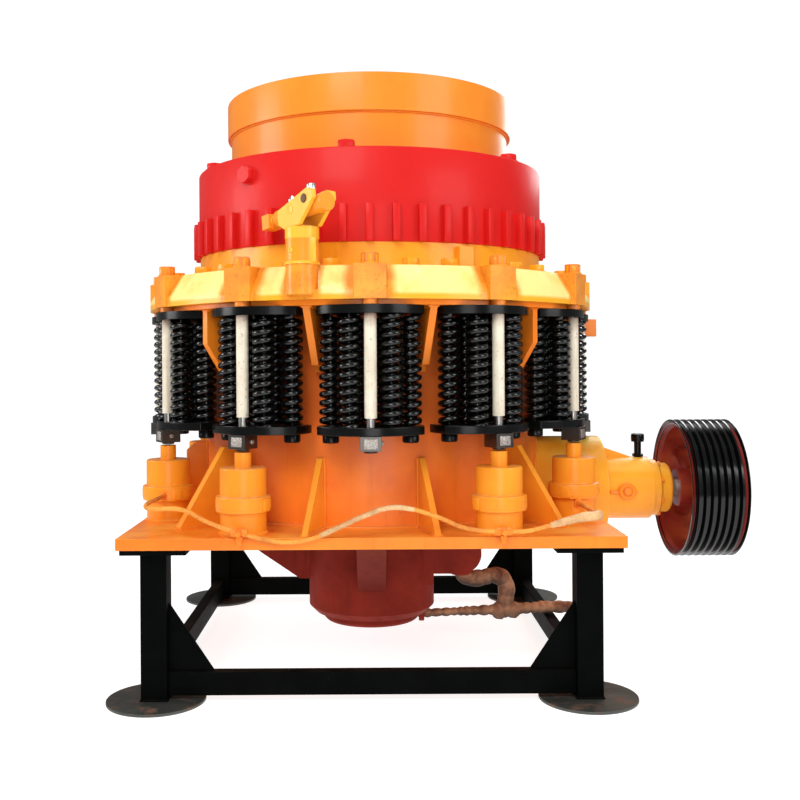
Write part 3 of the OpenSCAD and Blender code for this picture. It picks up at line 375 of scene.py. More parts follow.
def dull_steel(name, tint=MANGANESE, rough=0.45):
    """Cast manganese steel, scoured where stone has run over it, or another dull steel."""
    f = Finish(name)
    cloud = f.noise(4.0, 5.0, 0.65)
    scour = f.noise(1.0, 4.0, 0.65, squeeze=(60, 60, 4))
    rust = f.noise(13.0, 5.0, 0.7).ramp(0.52, 0.7)
    base = f.blend(cloud.ramp(0.35, 0.7), tint, shade(tint, 1.9))
    base = f.blend(rust * 0.6, base, OLD_RUST)
    normal = f.bump(scour * 0.6 + cloud + f.noise(70.0, 3.0) * 0.5, 0.5, 0.0025)
    return f.surface(base, scour * 0.25 + rough + rust * 0.2, normal, metal=0.75 - rust * 0.5)


def primer(name):
    """Dull red primer with orange overspray near the base plate, dark runs and a painted shadow on the
    front arm.
    """
    f = Finish(name)
    z = f.axis("Z")
    colour = tuple(paint().primer)
    cloud = f.noise(5.0, 5.0, 0.65)
    base = f.blend(cloud.ramp(0.35, 0.72), colour, shade(colour, 0.6))
    spray = (cloud * 0.16 + z).ramp(0.56, 0.74)
    base = f.blend(spray * 0.4, base, shade(paint().orange, 0.6))
    run = f.noise(1.0, 3.0, 0.6, squeeze=(28, 28, 1.5)).ramp(0.55, 0.75)
    base = f.blend(run * 0.35, base, shade(colour, 0.35))
    # painted shadow: the front arm's face, just in front of the hub, is darkened
    side = f.axis("X")
    arm = (1.0 - (side * side).ramp(0.0030, 0.0060)) * (f.axis("Y") * -1.0).ramp(0.29, 0.33)
    base = f.blend(arm * 0.65, base, shade(colour, 0.40))
    normal = f.bump(f.noise(34.0, 4.0, 0.6) + f.noise(130.0) * 0.3, 0.45, 0.0022)
    return f.surface(base, cloud * 0.2 + 0.42 + run * 0.1, normal, specular=0.05)


def bronze(name):
    """Cloudy bronze of the shaft's bushes."""
    f = Finish(name)
    cloud = f.noise(12.0, 4.0)
    base = f.blend(cloud.ramp(0.4, 0.7), (0.52, 0.30, 0.09), (0.30, 0.16, 0.05))
    return f.surface(base, cloud * 0.2 + 0.25, f.bump(cloud, 0.2, 0.001), metal=1.0)


def tape(name, pale, dark, wrap_scale=30.0, darkening=0.0):
    """Wound tape or cloth lagging, darker in its folds, with painted shade on its undersides when asked
    for.
    """
    f = Finish(name)
    weave = f.noise(260.0, 2.0, 0.5)
    soil = f.noise(7.0, 5.0, 0.7)
    fold = f.noise(wrap_scale, 3.0, 0.6)
    base = f.blend(soil.ramp(0.4, 0.68), pale, dark)
    base = f.blend(fold.ramp(0.56, 0.72) * 0.5, base, shade(dark, 0.5))
    # painted shade: the undersides darkened, broken up by the folds
    if darkening:
        under = (f.facing_up() + fold * 0.5 - 0.25).ramp(0.25, -0.75)
        base = f.blend(under * darkening, base, PIPE_UNDERSIDE_SHADE)
    normal = f.bump(weave * 0.4 + fold, 0.5, 0.002)
    return f.surface(base, soil * 0.2 + 0.55, normal, specular=0.3)


def cast_ring(name):
    """Yellow on the ring's flats, with a painted highlight in pale cream on their upper, sloping faces;
    thicker and more orange, with blow holes, on its twelve bosses.
    """
    f = Finish(name)
    across = f.axis("X")
    turn = across.maths("ARCTAN2", across, f.axis("Y"))
    boss = (turn * SETS + math.pi / 2).sine().ramp(0.25, 0.6)
    boss = boss + (turn * len(POST_TURNS) + math.pi / 3).sine().ramp(0.985, 0.992)
    cloud = f.noise(9.0, 4.0, 0.6)
    pits = f.noise(95.0, 3.0, 0.65).ramp(0.60, 0.68)
    # painted highlight: the top of the ring, where its faces slope up to the light, is pale cream;
    # yellow below
    low = (f.axis("Z") + cloud * 0.01).ramp(RING_TOP - 0.098, RING_TOP - 0.110)
    flat_and_highlight = f.blend(cloud.ramp(0.45, 0.75) * 0.5, (0.96, 0.76, 0.26), (0.93, 0.56, 0.06))
    flat_and_highlight = f.blend(low, flat_and_highlight, tuple(paint().yellow))
    thick = f.blend(cloud.ramp(0.35, 0.7), (0.86, 0.34, 0.020), (0.74, 0.20, 0.012))
    cover = boss + cloud.ramp(0.5, 0.75) * 0.2
    base = f.blend(cover.capped(), flat_and_highlight, thick)
    base = f.blend(pits * boss * 0.5, base, PIT)
    height = f.noise(55.0, 4.0, 0.6) * 0.6 - pits * (boss + 0.25) * 0.9
    return f.surface(base, cloud * 0.15 + 0.3, f.bump(height, 0.5, 0.0028), coat=0.15, coat_rough=0.14,
                     specular=0.3)


def sleeve_paint(name):
    """Worn pale paint on the spacer tubes, darker towards the top end."""
    f = Finish(name)
    stain = f.noise(9.0, 5.0, 0.7)
    spot = f.noise(75.0, 3.0, 0.7).ramp(0.62, 0.72)
    run = f.noise(1.0, 3.0, 0.6, squeeze=(60, 60, 2.5))
    base = f.blend(stain.ramp(0.42, 0.75) * 0.6, (0.80, 0.73, 0.58), (0.52, 0.42, 0.30))
    base = f.blend(run.ramp(0.52, 0.72) * 0.4, base, (0.40, 0.33, 0.25))
    base = f.blend(spot * 0.7, base, TUBE_RUST)
    # darker towards the tube's top, just under the spring top plates
    darkening = (f.axis("Z") + stain * 0.05).ramp(SPRING_TOP - 0.035, SPRING_TOP + 0.03)
    base = f.blend(darkening * 0.8, base, TUBE_TOP_DARK)
    return f.surface(base, stain * 0.2 + 0.32, f.bump(run + stain * 0.5, 0.3, 0.001), specular=0.3)


def maroon(name):
    """Maroon enamel inside the pulley, overlaid with orange near the drive."""
    f = Finish(name)
    cloud = f.noise(5.0, 4.0, 0.6)
    base = f.blend(cloud.ramp(0.38, 0.7), (0.25, 0.018, 0.012), (0.12, 0.009, 0.010))
    base = f.blend(f.noise(3.0, 3.0).ramp(0.55, 0.75) * 0.5, base, OVERSPRAY)
    return f.surface(base, cloud * 0.15 + 0.3, f.bump(f.noise(60.0, 3.0) + cloud, 0.3, 0.0014),
                     specular=0.25)


def recipes():
    """Each finish's maker and what it is told."""
    orange, yellow, red = (tuple(c) for c in (paint().orange, paint().yellow, paint().red))
    deep_orange = (0.76, 0.145, 0.01)
    return {
        "orange": (enamel, dict(name="orange_enamel", colour=orange, deep=deep_orange)),
        # the base plate's yellow top patches are a painted highlight
        "plate": (enamel, dict(name="base_plate_enamel", colour=orange, deep=deep_orange, top_share=0.8,
                               dust_and_highlight=YELLOW_TOP_HIGHLIGHT)),
        # the shell's red-brown band is painted shade between the spring sets
        "shell": (enamel, dict(name="shell_enamel", colour=(0.92, 0.235, 0.022),
                               deep=(0.80, 0.150, 0.014), cast=0.8, above=(0.74, 1.02, 0.42))),
        # the drive's paint is the frame's orange: its yellower colour and pale top patches are a
        # painted highlight
        "drive": (enamel, dict(name="drive_enamel", colour=(0.92, 0.38, 0.024),
                               deep=(0.84, 0.22, 0.012), cast=0.6, top_share=1.1, dust_and_highlight=PALE_TOP_HIGHLIGHT)),
        "amber": (enamel, dict(name="amber_enamel", colour=(0.91, 0.325, 0.020),
                               deep=(0.84, 0.19, 0.012), cast=0.6)),
        "hopper": (enamel, dict(name="hopper_enamel", colour=(0.86, 0.275, 0.022),
                                deep=(0.80, 0.19, 0.012), top_share=0.2, matt=0.34, runs=0.25, wear=0.0)),
        "yellow": (enamel, dict(name="yellow_cast_enamel", colour=yellow, deep=(0.82, 0.24, 0.012),
                                cast=1.0, wear=0.02)),
        "rusty_yellow": (enamel, dict(name="worn_yellow_enamel", colour=(0.90, 0.36, 0.012),
                                      deep=(0.72, 0.15, 0.01), cast=0.6, top_share=0.3, wear=0.05)),
        "pale_yellow": (enamel, dict(name="pale_yellow_enamel", colour=(0.93, 0.50, 0.045),
                                     deep=(0.88, 0.36, 0.02), cast=0.5, top_share=0.15, runs=0.3)),
        "red": (enamel, dict(name="red_enamel", colour=red, deep=(0.57, 0.010, 0.009), top_share=0.2,
                             runs=0.0, matt=0.42, wear=0.0, specular=0.16, coat=0.04)),
        "ring": (cast_ring, dict(name="cast_ring_enamel")),
        "black": (black_enamel, dict(name="black_enamel")),
        "spring": (black_enamel, dict(name="spring_enamel", matt=0.15, top_share=0.0, coat=0.0,
                                      specular=0.45)),
        "stand": (black_enamel, dict(name="stand_black", matt=0.5, top_share=0.1, coat=0.0, specular=0.02)),
        "grooves": (black_enamel, dict(name="groove_enamel", matt=0.13, top_share=0.0, coat=0.1,
                                       specular=0.4)),
        "pulley": (maroon, dict(name="pulley_maroon")),
        "primer": (primer, dict(name="red_primer")),
        "rod": (turned_steel, dict(name="turned_rod", painted_above=box("tie_rods")[1][2] - 0.205,
                                   tint=(0.40, 0.38, 0.36), dark_below=SPRING_LOW - 0.02)),
        "nut": (turned_steel, dict(name="dark_nut", rings=20.0, tint=(0.11, 0.10, 0.09))),
        "hub_steel": (turned_steel, dict(name="bush_steel", rings=20.0, tint=GREY_STEEL)),
        "shaft": (turned_steel, dict(name="shaft_steel", rings=30.0)),
        "silver": (turned_steel, dict(name="plated_fitting", rings=60.0, tint=PLATED)),
        "stamped": (stamped_steel, dict(name="stamped_steel")),
        "cast": (dull_steel, dict(name="manganese_steel")),
        "disc": (dull_steel, dict(name="foot_plate_steel", tint=(0.060, 0.066, 0.060), rough=0.42)),
        "bolt": (dull_steel, dict(name="dark_bolt", tint=(0.10, 0.062, 0.040), rough=0.4)),
        "bronze": (bronze, dict(name="bush_bronze")),
        "sleeve": (sleeve_paint, dict(name="sleeve_paint")),
        # the lagging's dark undersides are painted shade
        "lagging": (tape, dict(name="lagging_tape", pale=(0.50, 0.26, 0.14), dark=(0.085, 0.020, 0.012),
                               darkening=0.9)),
        "line": (tape, dict(name="orange_line_tape", pale=(0.88, 0.34, 0.05), dark=(0.52, 0.15, 0.03),
                            wrap_scale=60.0)),
        "wrap": (tape, dict(name="pale_line_wrap", pale=(0.78, 0.50, 0.24), dark=(0.42, 0.17, 0.06),
                            wrap_scale=75.0)),
    }


FINISHES = {}  # the materials built so far


def finish(name):
    """Builds each finish the first time it is asked for."""
    if name not in FINISHES:
        maker, told = recipes()[name]
        FINISHES[name] = maker(**told)
    return FINISHES[name]


# ---- Making pieces ----
def clear():
    if bpy.context.object and bpy.context.object.mode != "OBJECT":
        bpy.ops.object.mode_set(mode="OBJECT")
    bpy.ops.object.select_all(action="DESELECT")


def take(obj):
    """Makes obj the only one selected."""
    clear()
    obj.select_set(True)
    bpy.context.view_layer.objects.active = obj
    return obj


def modify(obj, kind, **settings):
    """Adds a modifier and applies it."""
    step = obj.modifiers.new(kind, kind)
    for key, value in settings.items():
        setattr(step, key, value)
    take(obj)
    bpy.ops.object.modifier_apply(modifier=step.name)
    return obj


def bevel(obj, width, angle, **settings):
    """Eases the edges that are sharper than the angle."""
    return modify(obj, "BEVEL", width=width, segments=2, limit_method="ANGLE",
                  angle_limit=math.radians(angle), **settings)


MERGE = (bpy.ops.mesh.remove_doubles, {"threshold": 1e-6})
FACE_OUT = (bpy.ops.mesh.normals_make_consistent, {"inside": False})


def edit(obj, *steps):
    """Works on the whole mesh in edit mode: each step is an operator and its settings."""
    take(obj)
    bpy.ops.object.mode_set(mode="EDIT")
    for operator, settings in steps:
        bpy.ops.mesh.select_all(action="SELECT")
        operator(**settings)
    bpy.ops.object.mode_set(mode="OBJECT")
    return obj


def settle(obj):
    """Puts the object's place into its mesh."""
    take(obj)
    bpy.ops.object.transform_apply(location=True, rotation=True, scale=True)
    return obj


def smooth(obj, angle=32):
    take(obj)
    bpy.ops.object.shade_smooth_by_angle(angle=math.radians(angle))
    return obj


def moved(obj, place):
    obj.data.transform(place)
    return obj


def twin(obj):
    """A copy of obj with its own mesh."""
    made = obj.copy()
    made.data = obj.data.copy()
    bpy.context.collection.objects.link(made)
    return made


def copies(obj, places):
    """One joined piece: a copy of obj at each matrix."""
    made = [moved(twin(obj), place) for place in places]
    bpy.data.objects.remove(obj)
    return join(made)


def join(parts):
    clear()
    for part in parts:
        part.select_set(True)
    bpy.context.view_layer.objects.active = parts[0]
    if len(parts) > 1:
        bpy.ops.object.join()
    return parts[0]


def done(obj, name, body, look, slot, replaces=()):
    """Names a finished piece, gives it its finish and hangs it on its body."""
    obj.name = obj.data.name = name
    obj.data.materials.clear()
    obj.data.materials.append(finish(look))
    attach(obj, body)
    if replaces:
        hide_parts(*replaces)
    return obj


def assemble(parts, *label, places=None, angle=32):
    """Joins parts into one finished piece, repeated at the places; the label is what done() takes."""
    piece = join(parts)
    if places:
        piece = copies(piece, places)
    return done(smooth(piece, angle), *label)


def turned(degrees, axis):
    return Matrix.Rotation(math.radians(degrees), 4, axis)


def spin(degrees):
    """A turn round the crusher's axis, from the front towards the pulley."""
    return turned(degrees, "Z")


def at(x, y, z):
    return Matrix.Translation((x, y, z))


SET_TURNS = [SET_STEP * k for k in range(SETS)]
ROD_PLACES = [spin(turn) @ at(0, -ROD_RING, 0) for turn in SET_TURNS]
POST_PLACES = [spin(turn) @ at(0, -POST_RING, 0) for turn in POST_TURNS]
ON_DRIVE = at(0, 0, AXIS_Z)
RAM_PLACE = POST_PLACES[0] @ at(0, 0, RAM_Z) @ spin(RAM_AIM)
RAM_TILT = at(0, 0, -0.003) @ turned(RAM_RISE, "Y")


def drum(radius, height, sides=24, edge=0.0015, z=0.0):
    """A turned disc or stud: a cylinder from z up, its rims eased."""
    clear()
    bpy.ops.mesh.primitive_cylinder_add(vertices=sides, radius=radius, depth=height,
                                        location=(0, 0, z + height / 2))
    return bevel(settle(bpy.context.object), edge, 60)


def hex_head(width, height, washer=True):
    """A hexagon head with a chamfered crown, over its washer."""
    clear()
    r = width / 2 / math.cos(math.radians(30))
    bpy.ops.mesh.primitive_cylinder_add(vertices=6, radius=r, depth=height,
                                        location=(0, 0, height / 2))
    head = bevel(settle(bpy.context.object), 0.0015, 50)
    clear()
    bpy.ops.mesh.primitive_cone_add(vertices=36, radius1=r * 1.32, radius2=r * 0.90, depth=height * 1.2,
                                    location=(0, 0, height * 0.42))
    crown = settle(bpy.context.object)
    modify(head, "BOOLEAN", operation="INTERSECT", object=crown, solver="EXACT")
    bpy.data.objects.remove(crown)
    parts = [head]
    if washer:
        parts.append(drum(r * 1.12, height * 0.14, 28, 0.001))
    return smooth(join(parts), 30)


def path_curve(kind):
    """A new curve with one empty spline of the kind."""
    clear()
    bpy.ops.curve.primitive_nurbs_path_add()
    curve = bpy.context.object.data
    curve.splines.clear()
    return curve, curve.splines.new(kind)


def route(points, step=0.004):
    """Evenly spaced places along a smooth curve through the points."""
    curve, spline = path_curve("BEZIER")
    spline.bezier_points.add(len(points) - 1)
    for point, place in zip(spline.bezier_points, points):
        point.co = place
        point.handle_left_type = point.handle_right_type = "AUTO"
    curve.resolution_u = 16
    bpy.ops.object.convert(target="MESH")
    rough = [v.co.copy() for v in bpy.context.object.data.vertices]
    bpy.data.objects.remove(bpy.context.object)
    fine, left = [rough[0]], step
    for a, b in zip(rough, rough[1:]):
        length, used = (b - a).length, left
        while used <= length:
            fine.append(a.lerp(b, used / length))
            used += step
        left = used - length
    return fine


def tube(places, radius, sides=10, ripple=0.0, pitch=0.02, lump=0.0, swell=None):
    """A pipe or bead on a route, with ripples along it like wound tape or a weld."""
    curve, spline = path_curve("POLY")
    spline.points.add(len(places) - 1)
    run = 0.0
    for i, (point, place) in enumerate(zip(spline.points, places)):
        point.co = (*place, 1)
        run += (Vector(place) - Vector(places[i - 1])).length if i else 0.0
        wave = abs(math.sin(math.pi * run / pitch + 0.8 * math.sin(run * 31)))
        point.radius = 1 - ripple * (1 - wave) + lump * math.sin(run * 47) * math.sin(run * 19 + 1)
        if swell:
            point.radius *= swell(i / (len(places) - 1))
    curve.dimensions = "3D"
    curve.bevel_depth = radius
    curve.bevel_resolution = max(0, sides // 2 - 2)
    curve.use_fill_caps = True
    bpy.ops.object.convert(target="MESH")
    return smooth(settle(edit(bpy.context.object, MERGE, FACE_OUT)), 50)


def straight(a, b, step=0.005):
    """Places on a straight line from a to b."""
    a, b = Vector(a), Vector(b)
    n = max(2, round((b - a).length / step))
    return [a.lerp(b, i / n) for i in range(n + 1)]


def arc(radius, z, first, last, step=0.006):
    """Places on a circle round the crusher's axis, in degrees from the front."""
    n = max(3, round(abs(math.radians(last - first)) * radius / step))
    turns = [math.radians(first + (last - first) * i / n) for i in range(n + 1)]
    return [Vector((radius * math.sin(t), -radius * math.cos(t), z)) for t in turns]


def lathe(outline, sides=32, axis="Z", hollow=False):
    """A turned piece: an outline of (radius, height) spun round. A hollow one is closed on itself."""
    if hollow:
        outline = [*outline, outline[0]]
    clear()
    bpy.ops.mesh.primitive_circle_add(vertices=sides, radius=outline[0][0],
                                      fill_type="NOTHING" if hollow else "NGON",
                                      location=(0, 0, outline[0][1]))
    obj = settle(bpy.context.object)
    bpy.ops.object.mode_set(mode="EDIT")
    bpy.ops.mesh.select_all(action="SELECT")
    grow = bpy.ops.mesh.extrude_edges_move if hollow else bpy.ops.mesh.extrude_region_move
    for (r0, z0), (r1, z1) in zip(outline, outline[1:]):
        grow(TRANSFORM_OT_translate={"value": (0, 0, z1 - z0)})
        bpy.ops.transform.resize(value=(r1 / r0, r1 / r0, 1), center_override=(0, 0, z1))
    bpy.ops.object.mode_set(mode="OBJECT")
    edit(obj, MERGE, FACE_OUT)
    if axis == "X":
        moved(obj, turned(90, "Y"))
    return smooth(obj, 34)


def block(size, centre=(0, 0, 0), edge=0.002):
    """A small machined block with eased edges."""
    clear()
    bpy.ops.mesh.primitive_cube_add(size=1, location=centre, scale=size)
    return smooth(bevel(settle(bpy.context.object), edge, 40), 30)


# ---- CAD nodes whose copies change shape ----
def round_uprights(obj, width, reach):
    """Rounds the sharp upright edges of a casting that lie farther out than reach."""
    take(obj)
    bpy.ops.object.mode_set(mode="EDIT")
    bpy.ops.mesh.select_mode(type="EDGE")
    bpy.ops.mesh.select_all(action="DESELECT")
    bpy.ops.mesh.edges_select_sharp(sharpness=math.radians(28))
    bpy.ops.object.mode_set(mode="OBJECT")
    mesh = obj.data
    keep = []
    for edge in mesh.edges:
        a, b = (mesh.vertices[i].co for i in edge.vertices)
        keep.append(edge.select and abs(a.z - b.z) > 0.97 * (a - b).length and a.xy.length > reach)
    for part in (mesh.vertices, mesh.edges, mesh.polygons):
        for item in part:
            item.select = False
    for edge, wanted in zip(mesh.edges, keep):
        edge.select = wanted
    bpy.ops.object.mode_set(mode="EDIT")
    bpy.ops.mesh.bevel(offset=width, segments=4, affect="EDGES", clamp_overlap=True)
    bpy.ops.mesh.select_mode(type="VERT")
    bpy.ops.object.mode_set(mode="OBJECT")
    return obj


def round_bosses(obj):
    """Draws the seats under the ram posts back to the posts' centres and rounds the ring's bosses."""
    half_seat, half_drawn = 0.085, 0.059
    for turn in POST_TURNS:
        to, back = spin(-turn), spin(turn)
        for vert in obj.data.vertices:
            spot = to @ vert.co
            if spot.y < -POST_RING - 0.9 * POST_R and abs(spot.x) < half_seat:
                spot = Vector((max(-half_drawn, min(half_drawn, spot.x)), -POST_RING, spot.z))
                vert.co = back @ spot
    return round_uprights(obj, 0.022, 0.86)


def add_post_seats(obj):
    """Sets a round seat under each ram post, where the square one was drawn back."""
    low, high = RING_TOP - 0.1145, RING_TOP - 0.0004
    seat = lathe([(POST_R - 0.004, low), (POST_R, low + 0.004), (POST_R, high)], 64)
    return join([obj, copies(seat, POST_PLACES)])


def slim_rods(obj):
    """Turns each tie rod down below the flange, to run inside its spacer tube."""
    for vert in obj.data.vertices:
        k = round(math.degrees(math.atan2(vert.co.x, -vert.co.y)) / SET_STEP)
        middle = (spin(SET_STEP * k) @ Vector((0, -ROD_RING, 0))).xy
        out = vert.co.xy - middle
        if vert.co.z < SPRING_TOP + 0.08 and abs(out.length - ROD_R) < 0.001:
            vert.co.x, vert.co.y = middle + out * (SLIM_ROD_R / out.length)
    return obj


def add_rod_ends(obj):
    """Gives each slimmed rod its full-size end, from its foot to just under the springs."""
    foot, head, end_r = box("tie_rods")[0][2], SPRING_LOW - 0.012, ROD_R - 0.0002
    end = lathe([(end_r - 0.0013, foot), (end_r, foot + 0.0013), (end_r, head)], 40)
    return join([obj, copies(end, ROD_PLACES)])


def trim_pocket(obj):
    """Takes the pocket's underside up round a wide corner, clear of the hub's barrel."""
    sharp, bend_x, bend_z, bend_r = 0.0001, 0.4065, 0.431, 0.090
    under = block((0.34, 0.50, 0.14), (0.45, 0, bend_z - bend_r - 0.07), sharp)
    corner = block((0.20, 0.50, 0.10), (bend_x + 0.10, 0, bend_z - 0.05), sharp)
    bend = moved(drum(bend_r, 0.60, 48, sharp), at(bend_x, 0.30, bend_z) @ turned(90, "X"))
    barrel = drum(COVER_R + 0.0685, 0.60, 96, sharp, 0.1)
    for piece, other, how in ((corner, bend, "DIFFERENCE"), (under, corner, "UNION"),
                              (under, barrel, "DIFFERENCE"), (obj, under, "DIFFERENCE")):
        modify(piece, "BOOLEAN", operation=how, object=other, solver="EXACT")
        bpy.data.objects.remove(other)
    return obj


def tilt_rams(obj):
    """Raises each ram's free end: the front ram is cut out, tipped and set at both posts."""
    front = spin(POST_TURNS[0]) @ Vector((0, -1, 0))
    edit(obj, (bpy.ops.mesh.bisect, dict(plane_co=(0, 0, 0), plane_no=front, clear_inner=True)))
    return copies(moved(obj, RAM_TILT @ RAM_PLACE.inverted()), [RAM_PLACE, spin(180) @ RAM_PLACE])


def turned_cap():
    """The cap turned as one ring with an inner lip, and its upright lugs set round it."""
    (_, _, low), (reach, _, high) = box("adjustment_cap")
    body, bore = SHELL_R + 0.028, DRUM_R - 0.076
    inside, lip = body - 0.028, high - 0.034
    ring = lathe([(inside, low), (body - 0.001, low), (body, low + 0.002), (body, high - 0.006),
                  (body - 0.002, high - 0.002), (body - 0.006, high), (bore, high), (bore, lip),
                  (inside, lip)], 160, hollow=True)
    root = body - 0.012
    lug = block((0.030, reach - root, LUG_TOP - low),
                (0, -(reach + root) / 2, (LUG_TOP + low) / 2), 0.003)
    return smooth(join([ring, copies(lug, [spin(360 / LUGS * i) for i in range(LUGS)])]), 34)


# ---- Carried-over CAD nodes ----
# node: (finish, slot, eased edge as a share of the usual one; 0 keeps the CAD mesh)
DRESSING = {
    "foot_discs": ("disc", "bare_steel", 1.0), "legs": ("stand", "black_paint", 1.4),
    "leg_gussets": ("stand", "black_paint", 0.5), "leg_pads": ("stand", "black_paint", 0.8),
    "rails": ("stand", "black_paint", 1.2), "base_plate": ("plate", "orange_paint", 1.0),
    "frame_shell": ("shell", "orange_paint", 0.0), "frame_flange": ("orange", "orange_paint", 1.0),
    "flange_ribs": ("orange", "orange_paint", 0.8), "base_gussets": ("amber", "orange_paint", 0.8),
    "drive_collar": ("drive", "orange_paint", 2.0),
    "countershaft_housing": ("drive", "orange_paint", 1.0),
    "housing_cap": ("drive", "orange_paint", 1.2), "shaft_bushes": ("bronze", "bronze", 0.0),
    "breather": ("black", "black_paint", 1.0), "jack_bodies": ("amber", "orange_paint", 2.0),
    "jack_stems": ("amber", "orange_paint", 0.7), "side_lug": ("orange", "orange_paint", 1.0),
    "hub_and_arms": ("primer", "brown_red_paint", 1.2), "hub_cover": ("primer", "brown_red_paint", 1.0),
    "spring_top_plates": ("black", "black_paint", 1.2),
    "head_seat": ("cast", "dull_steel", 0.0), "crusher_head": ("cast", "dull_steel", 0.0),
    "feed_plate": ("cast", "dull_steel", 1.6), "support_ring": ("ring", "yellow_paint", 1.6),
    "clamp_ring": ("yellow", "yellow_paint", 1.0), "tie_rods": ("rod", "bare_steel", 0.6),
    "rod_nuts": ("nut", "bare_steel", 1.0), "spring_bottom_plates": ("black", "black_paint", 1.2),
    "ram_posts": ("amber", "yellow_paint", 1.0), "ram_clevises": ("pale_yellow", "yellow_paint", 2.0),
    "ram_cylinders": ("amber", "orange_paint", 1.0), "adjustment_cap": ("red", "red_paint", 0.0),
    "hopper_drum": ("hopper", "orange_paint", 0.8), "hopper_rim": ("hopper", "orange_paint", 1.2),
    "bowl": ("cast", "dull_steel", 0.0), "bowl_liner": ("cast", "dull_steel", 0.0),
    "countershaft": ("shaft", "bare_steel", 0.6), "pulley": ("grooves", "black_paint", 0.0),
    "coil_springs": ("black", "black_paint", 0.0), "oil_pipes": ("lagging", "lagging", 0.0),
    "hydraulic_line": ("line", "orange_paint", 0.0), "ring_bolts": ("yellow", "yellow_paint", 0.0),
    "cap_bolts": ("red", "red_paint", 0.0),
}

# node: (what is done to its copy before the edges are eased, and after)
RESHAPED = {
    "support_ring": (round_bosses, add_post_seats), "tie_rods": (slim_rods, add_rod_ends),
    "hub_and_arms": (trim_pocket, None), "ram_clevises": (tilt_rams, None),
    "ram_cylinders": (tilt_rams, None),
}


class CRUSHER_OT_castings(bpy.types.Operator):
    """Give every CAD node its finish, and round the edges of plates and castings"""

    bl_idname = "crusher.castings"
    bl_label = "Castings and plates"

    def ease(self, node, source, share):
        """A copy of the node, its flats merged, reshaped where it needs it, and its edges eased."""
        eased = bpy.data.objects.new(node + "_eased", source.data.copy())
        bpy.context.collection.objects.link(eased)
        edit(eased, (bpy.ops.mesh.remove_doubles, {"threshold": 2e-5}),
             (bpy.ops.mesh.dissolve_limited, {"angle_limit": math.radians(0.7)}))
        before, after = RESHAPED.get(node, (None, None))
        if before:
            eased = before(eased)
        bevel(eased, sizes().ease * share, 33, use_clamp_overlap=True)
        if after:
            eased = after(eased)
        return modify(smooth(eased, 30), "WEIGHTED_NORMAL", keep_sharp=True)

    def execute(self, context):
        for node, source in NODES.items():
            look, slot, share = DRESSING[node]
            source.data.materials.clear()
            source.data.materials.append(finish(look))
            if node == "adjustment_cap":
                done(turned_cap(), "adjustment_cap_turned", source["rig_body"], look, slot, [node])
            if share:
                eased = self.ease(node, source, share)
                done(eased, node + "_eased", source["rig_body"], look, slot, [node])
        return {"FINISHED"}


class CRUSHER_OT_coil_springs(bpy.types.Operator):
    """Wind the helical springs, six to a set, with ground ends"""

    bl_idname = "crusher.coil_springs"
    bl_label = "Coil springs"

    def wind(self, wire, mean, turns, sides, steps):
        """One coil of wire, from below the lower plate's face to above the upper one's."""
        pitch = (SPRING_TOP - SPRING_LOW - wire) / (turns - 0.5)
        clear()
        bpy.ops.mesh.primitive_circle_add(vertices=sides, radius=wire, rotation=(math.pi / 2, 0, 0),
                                          location=(mean, 0, SPRING_LOW - pitch * 0.25))
        coil = settle(bpy.context.object)
        return modify(coil, "SCREW", angle=2 * math.pi, screw_offset=pitch, iterations=turns,
                      steps=steps, render_steps=steps, axis="Z", use_merge_vertices=False)

    def execute(self, context):
        low, top = SPRING_LOW, SPRING_TOP
        wire, turns = sizes().wire / 2, sizes().turns
        room = NEST_R - 2 * wire
        coil = join([self.wind(wire, COIL_R - wire, turns, 10, 20),
                     self.wind(room * 0.34, room * 0.66, round(turns * 1.6), 6, 12)])
        grinds = [(bpy.ops.mesh.bisect, dict(plane_co=(0, 0, height), plane_no=(0, 0, 1), use_fill=True,
                                             clear_inner=keep_up, clear_outer=not keep_up))
                  for height, keep_up in ((low + 0.0004, True), (top - 0.0004, False))]
        edit(coil, *grinds, (bpy.ops.mesh.fill_holes, {"sides": 0}), FACE_OUT)
        smooth(coil, 50)
        for k, turn in enumerate(SET_TURNS):
            piece = copies(twin(coil), [spin(turn) @ at(aside, -out, 0) @ spin(57 * i + 23 * k)
                                        for i, (aside, out) in enumerate(COIL_SPOTS)])
            done(piece, f"coil_springs_{k + 1:02d}", "frame", "spring", "black_paint", ["coil_springs"])
            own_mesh(piece)
        bpy.data.objects.remove(coil)
        foot, head = low + 0.034, top - 0.0005
        sleeve = lathe([(SLEEVE_BORE, foot), (SLEEVE_R - 0.0009, foot), (SLEEVE_R, foot + 0.0015),
                        (SLEEVE_R, head), (SLEEVE_BORE, head)], 32, hollow=True)
        done(copies(sleeve, ROD_PLACES), "rod_sleeves", "frame", "sleeve", "bare_steel")
        return {"FINISHED"}


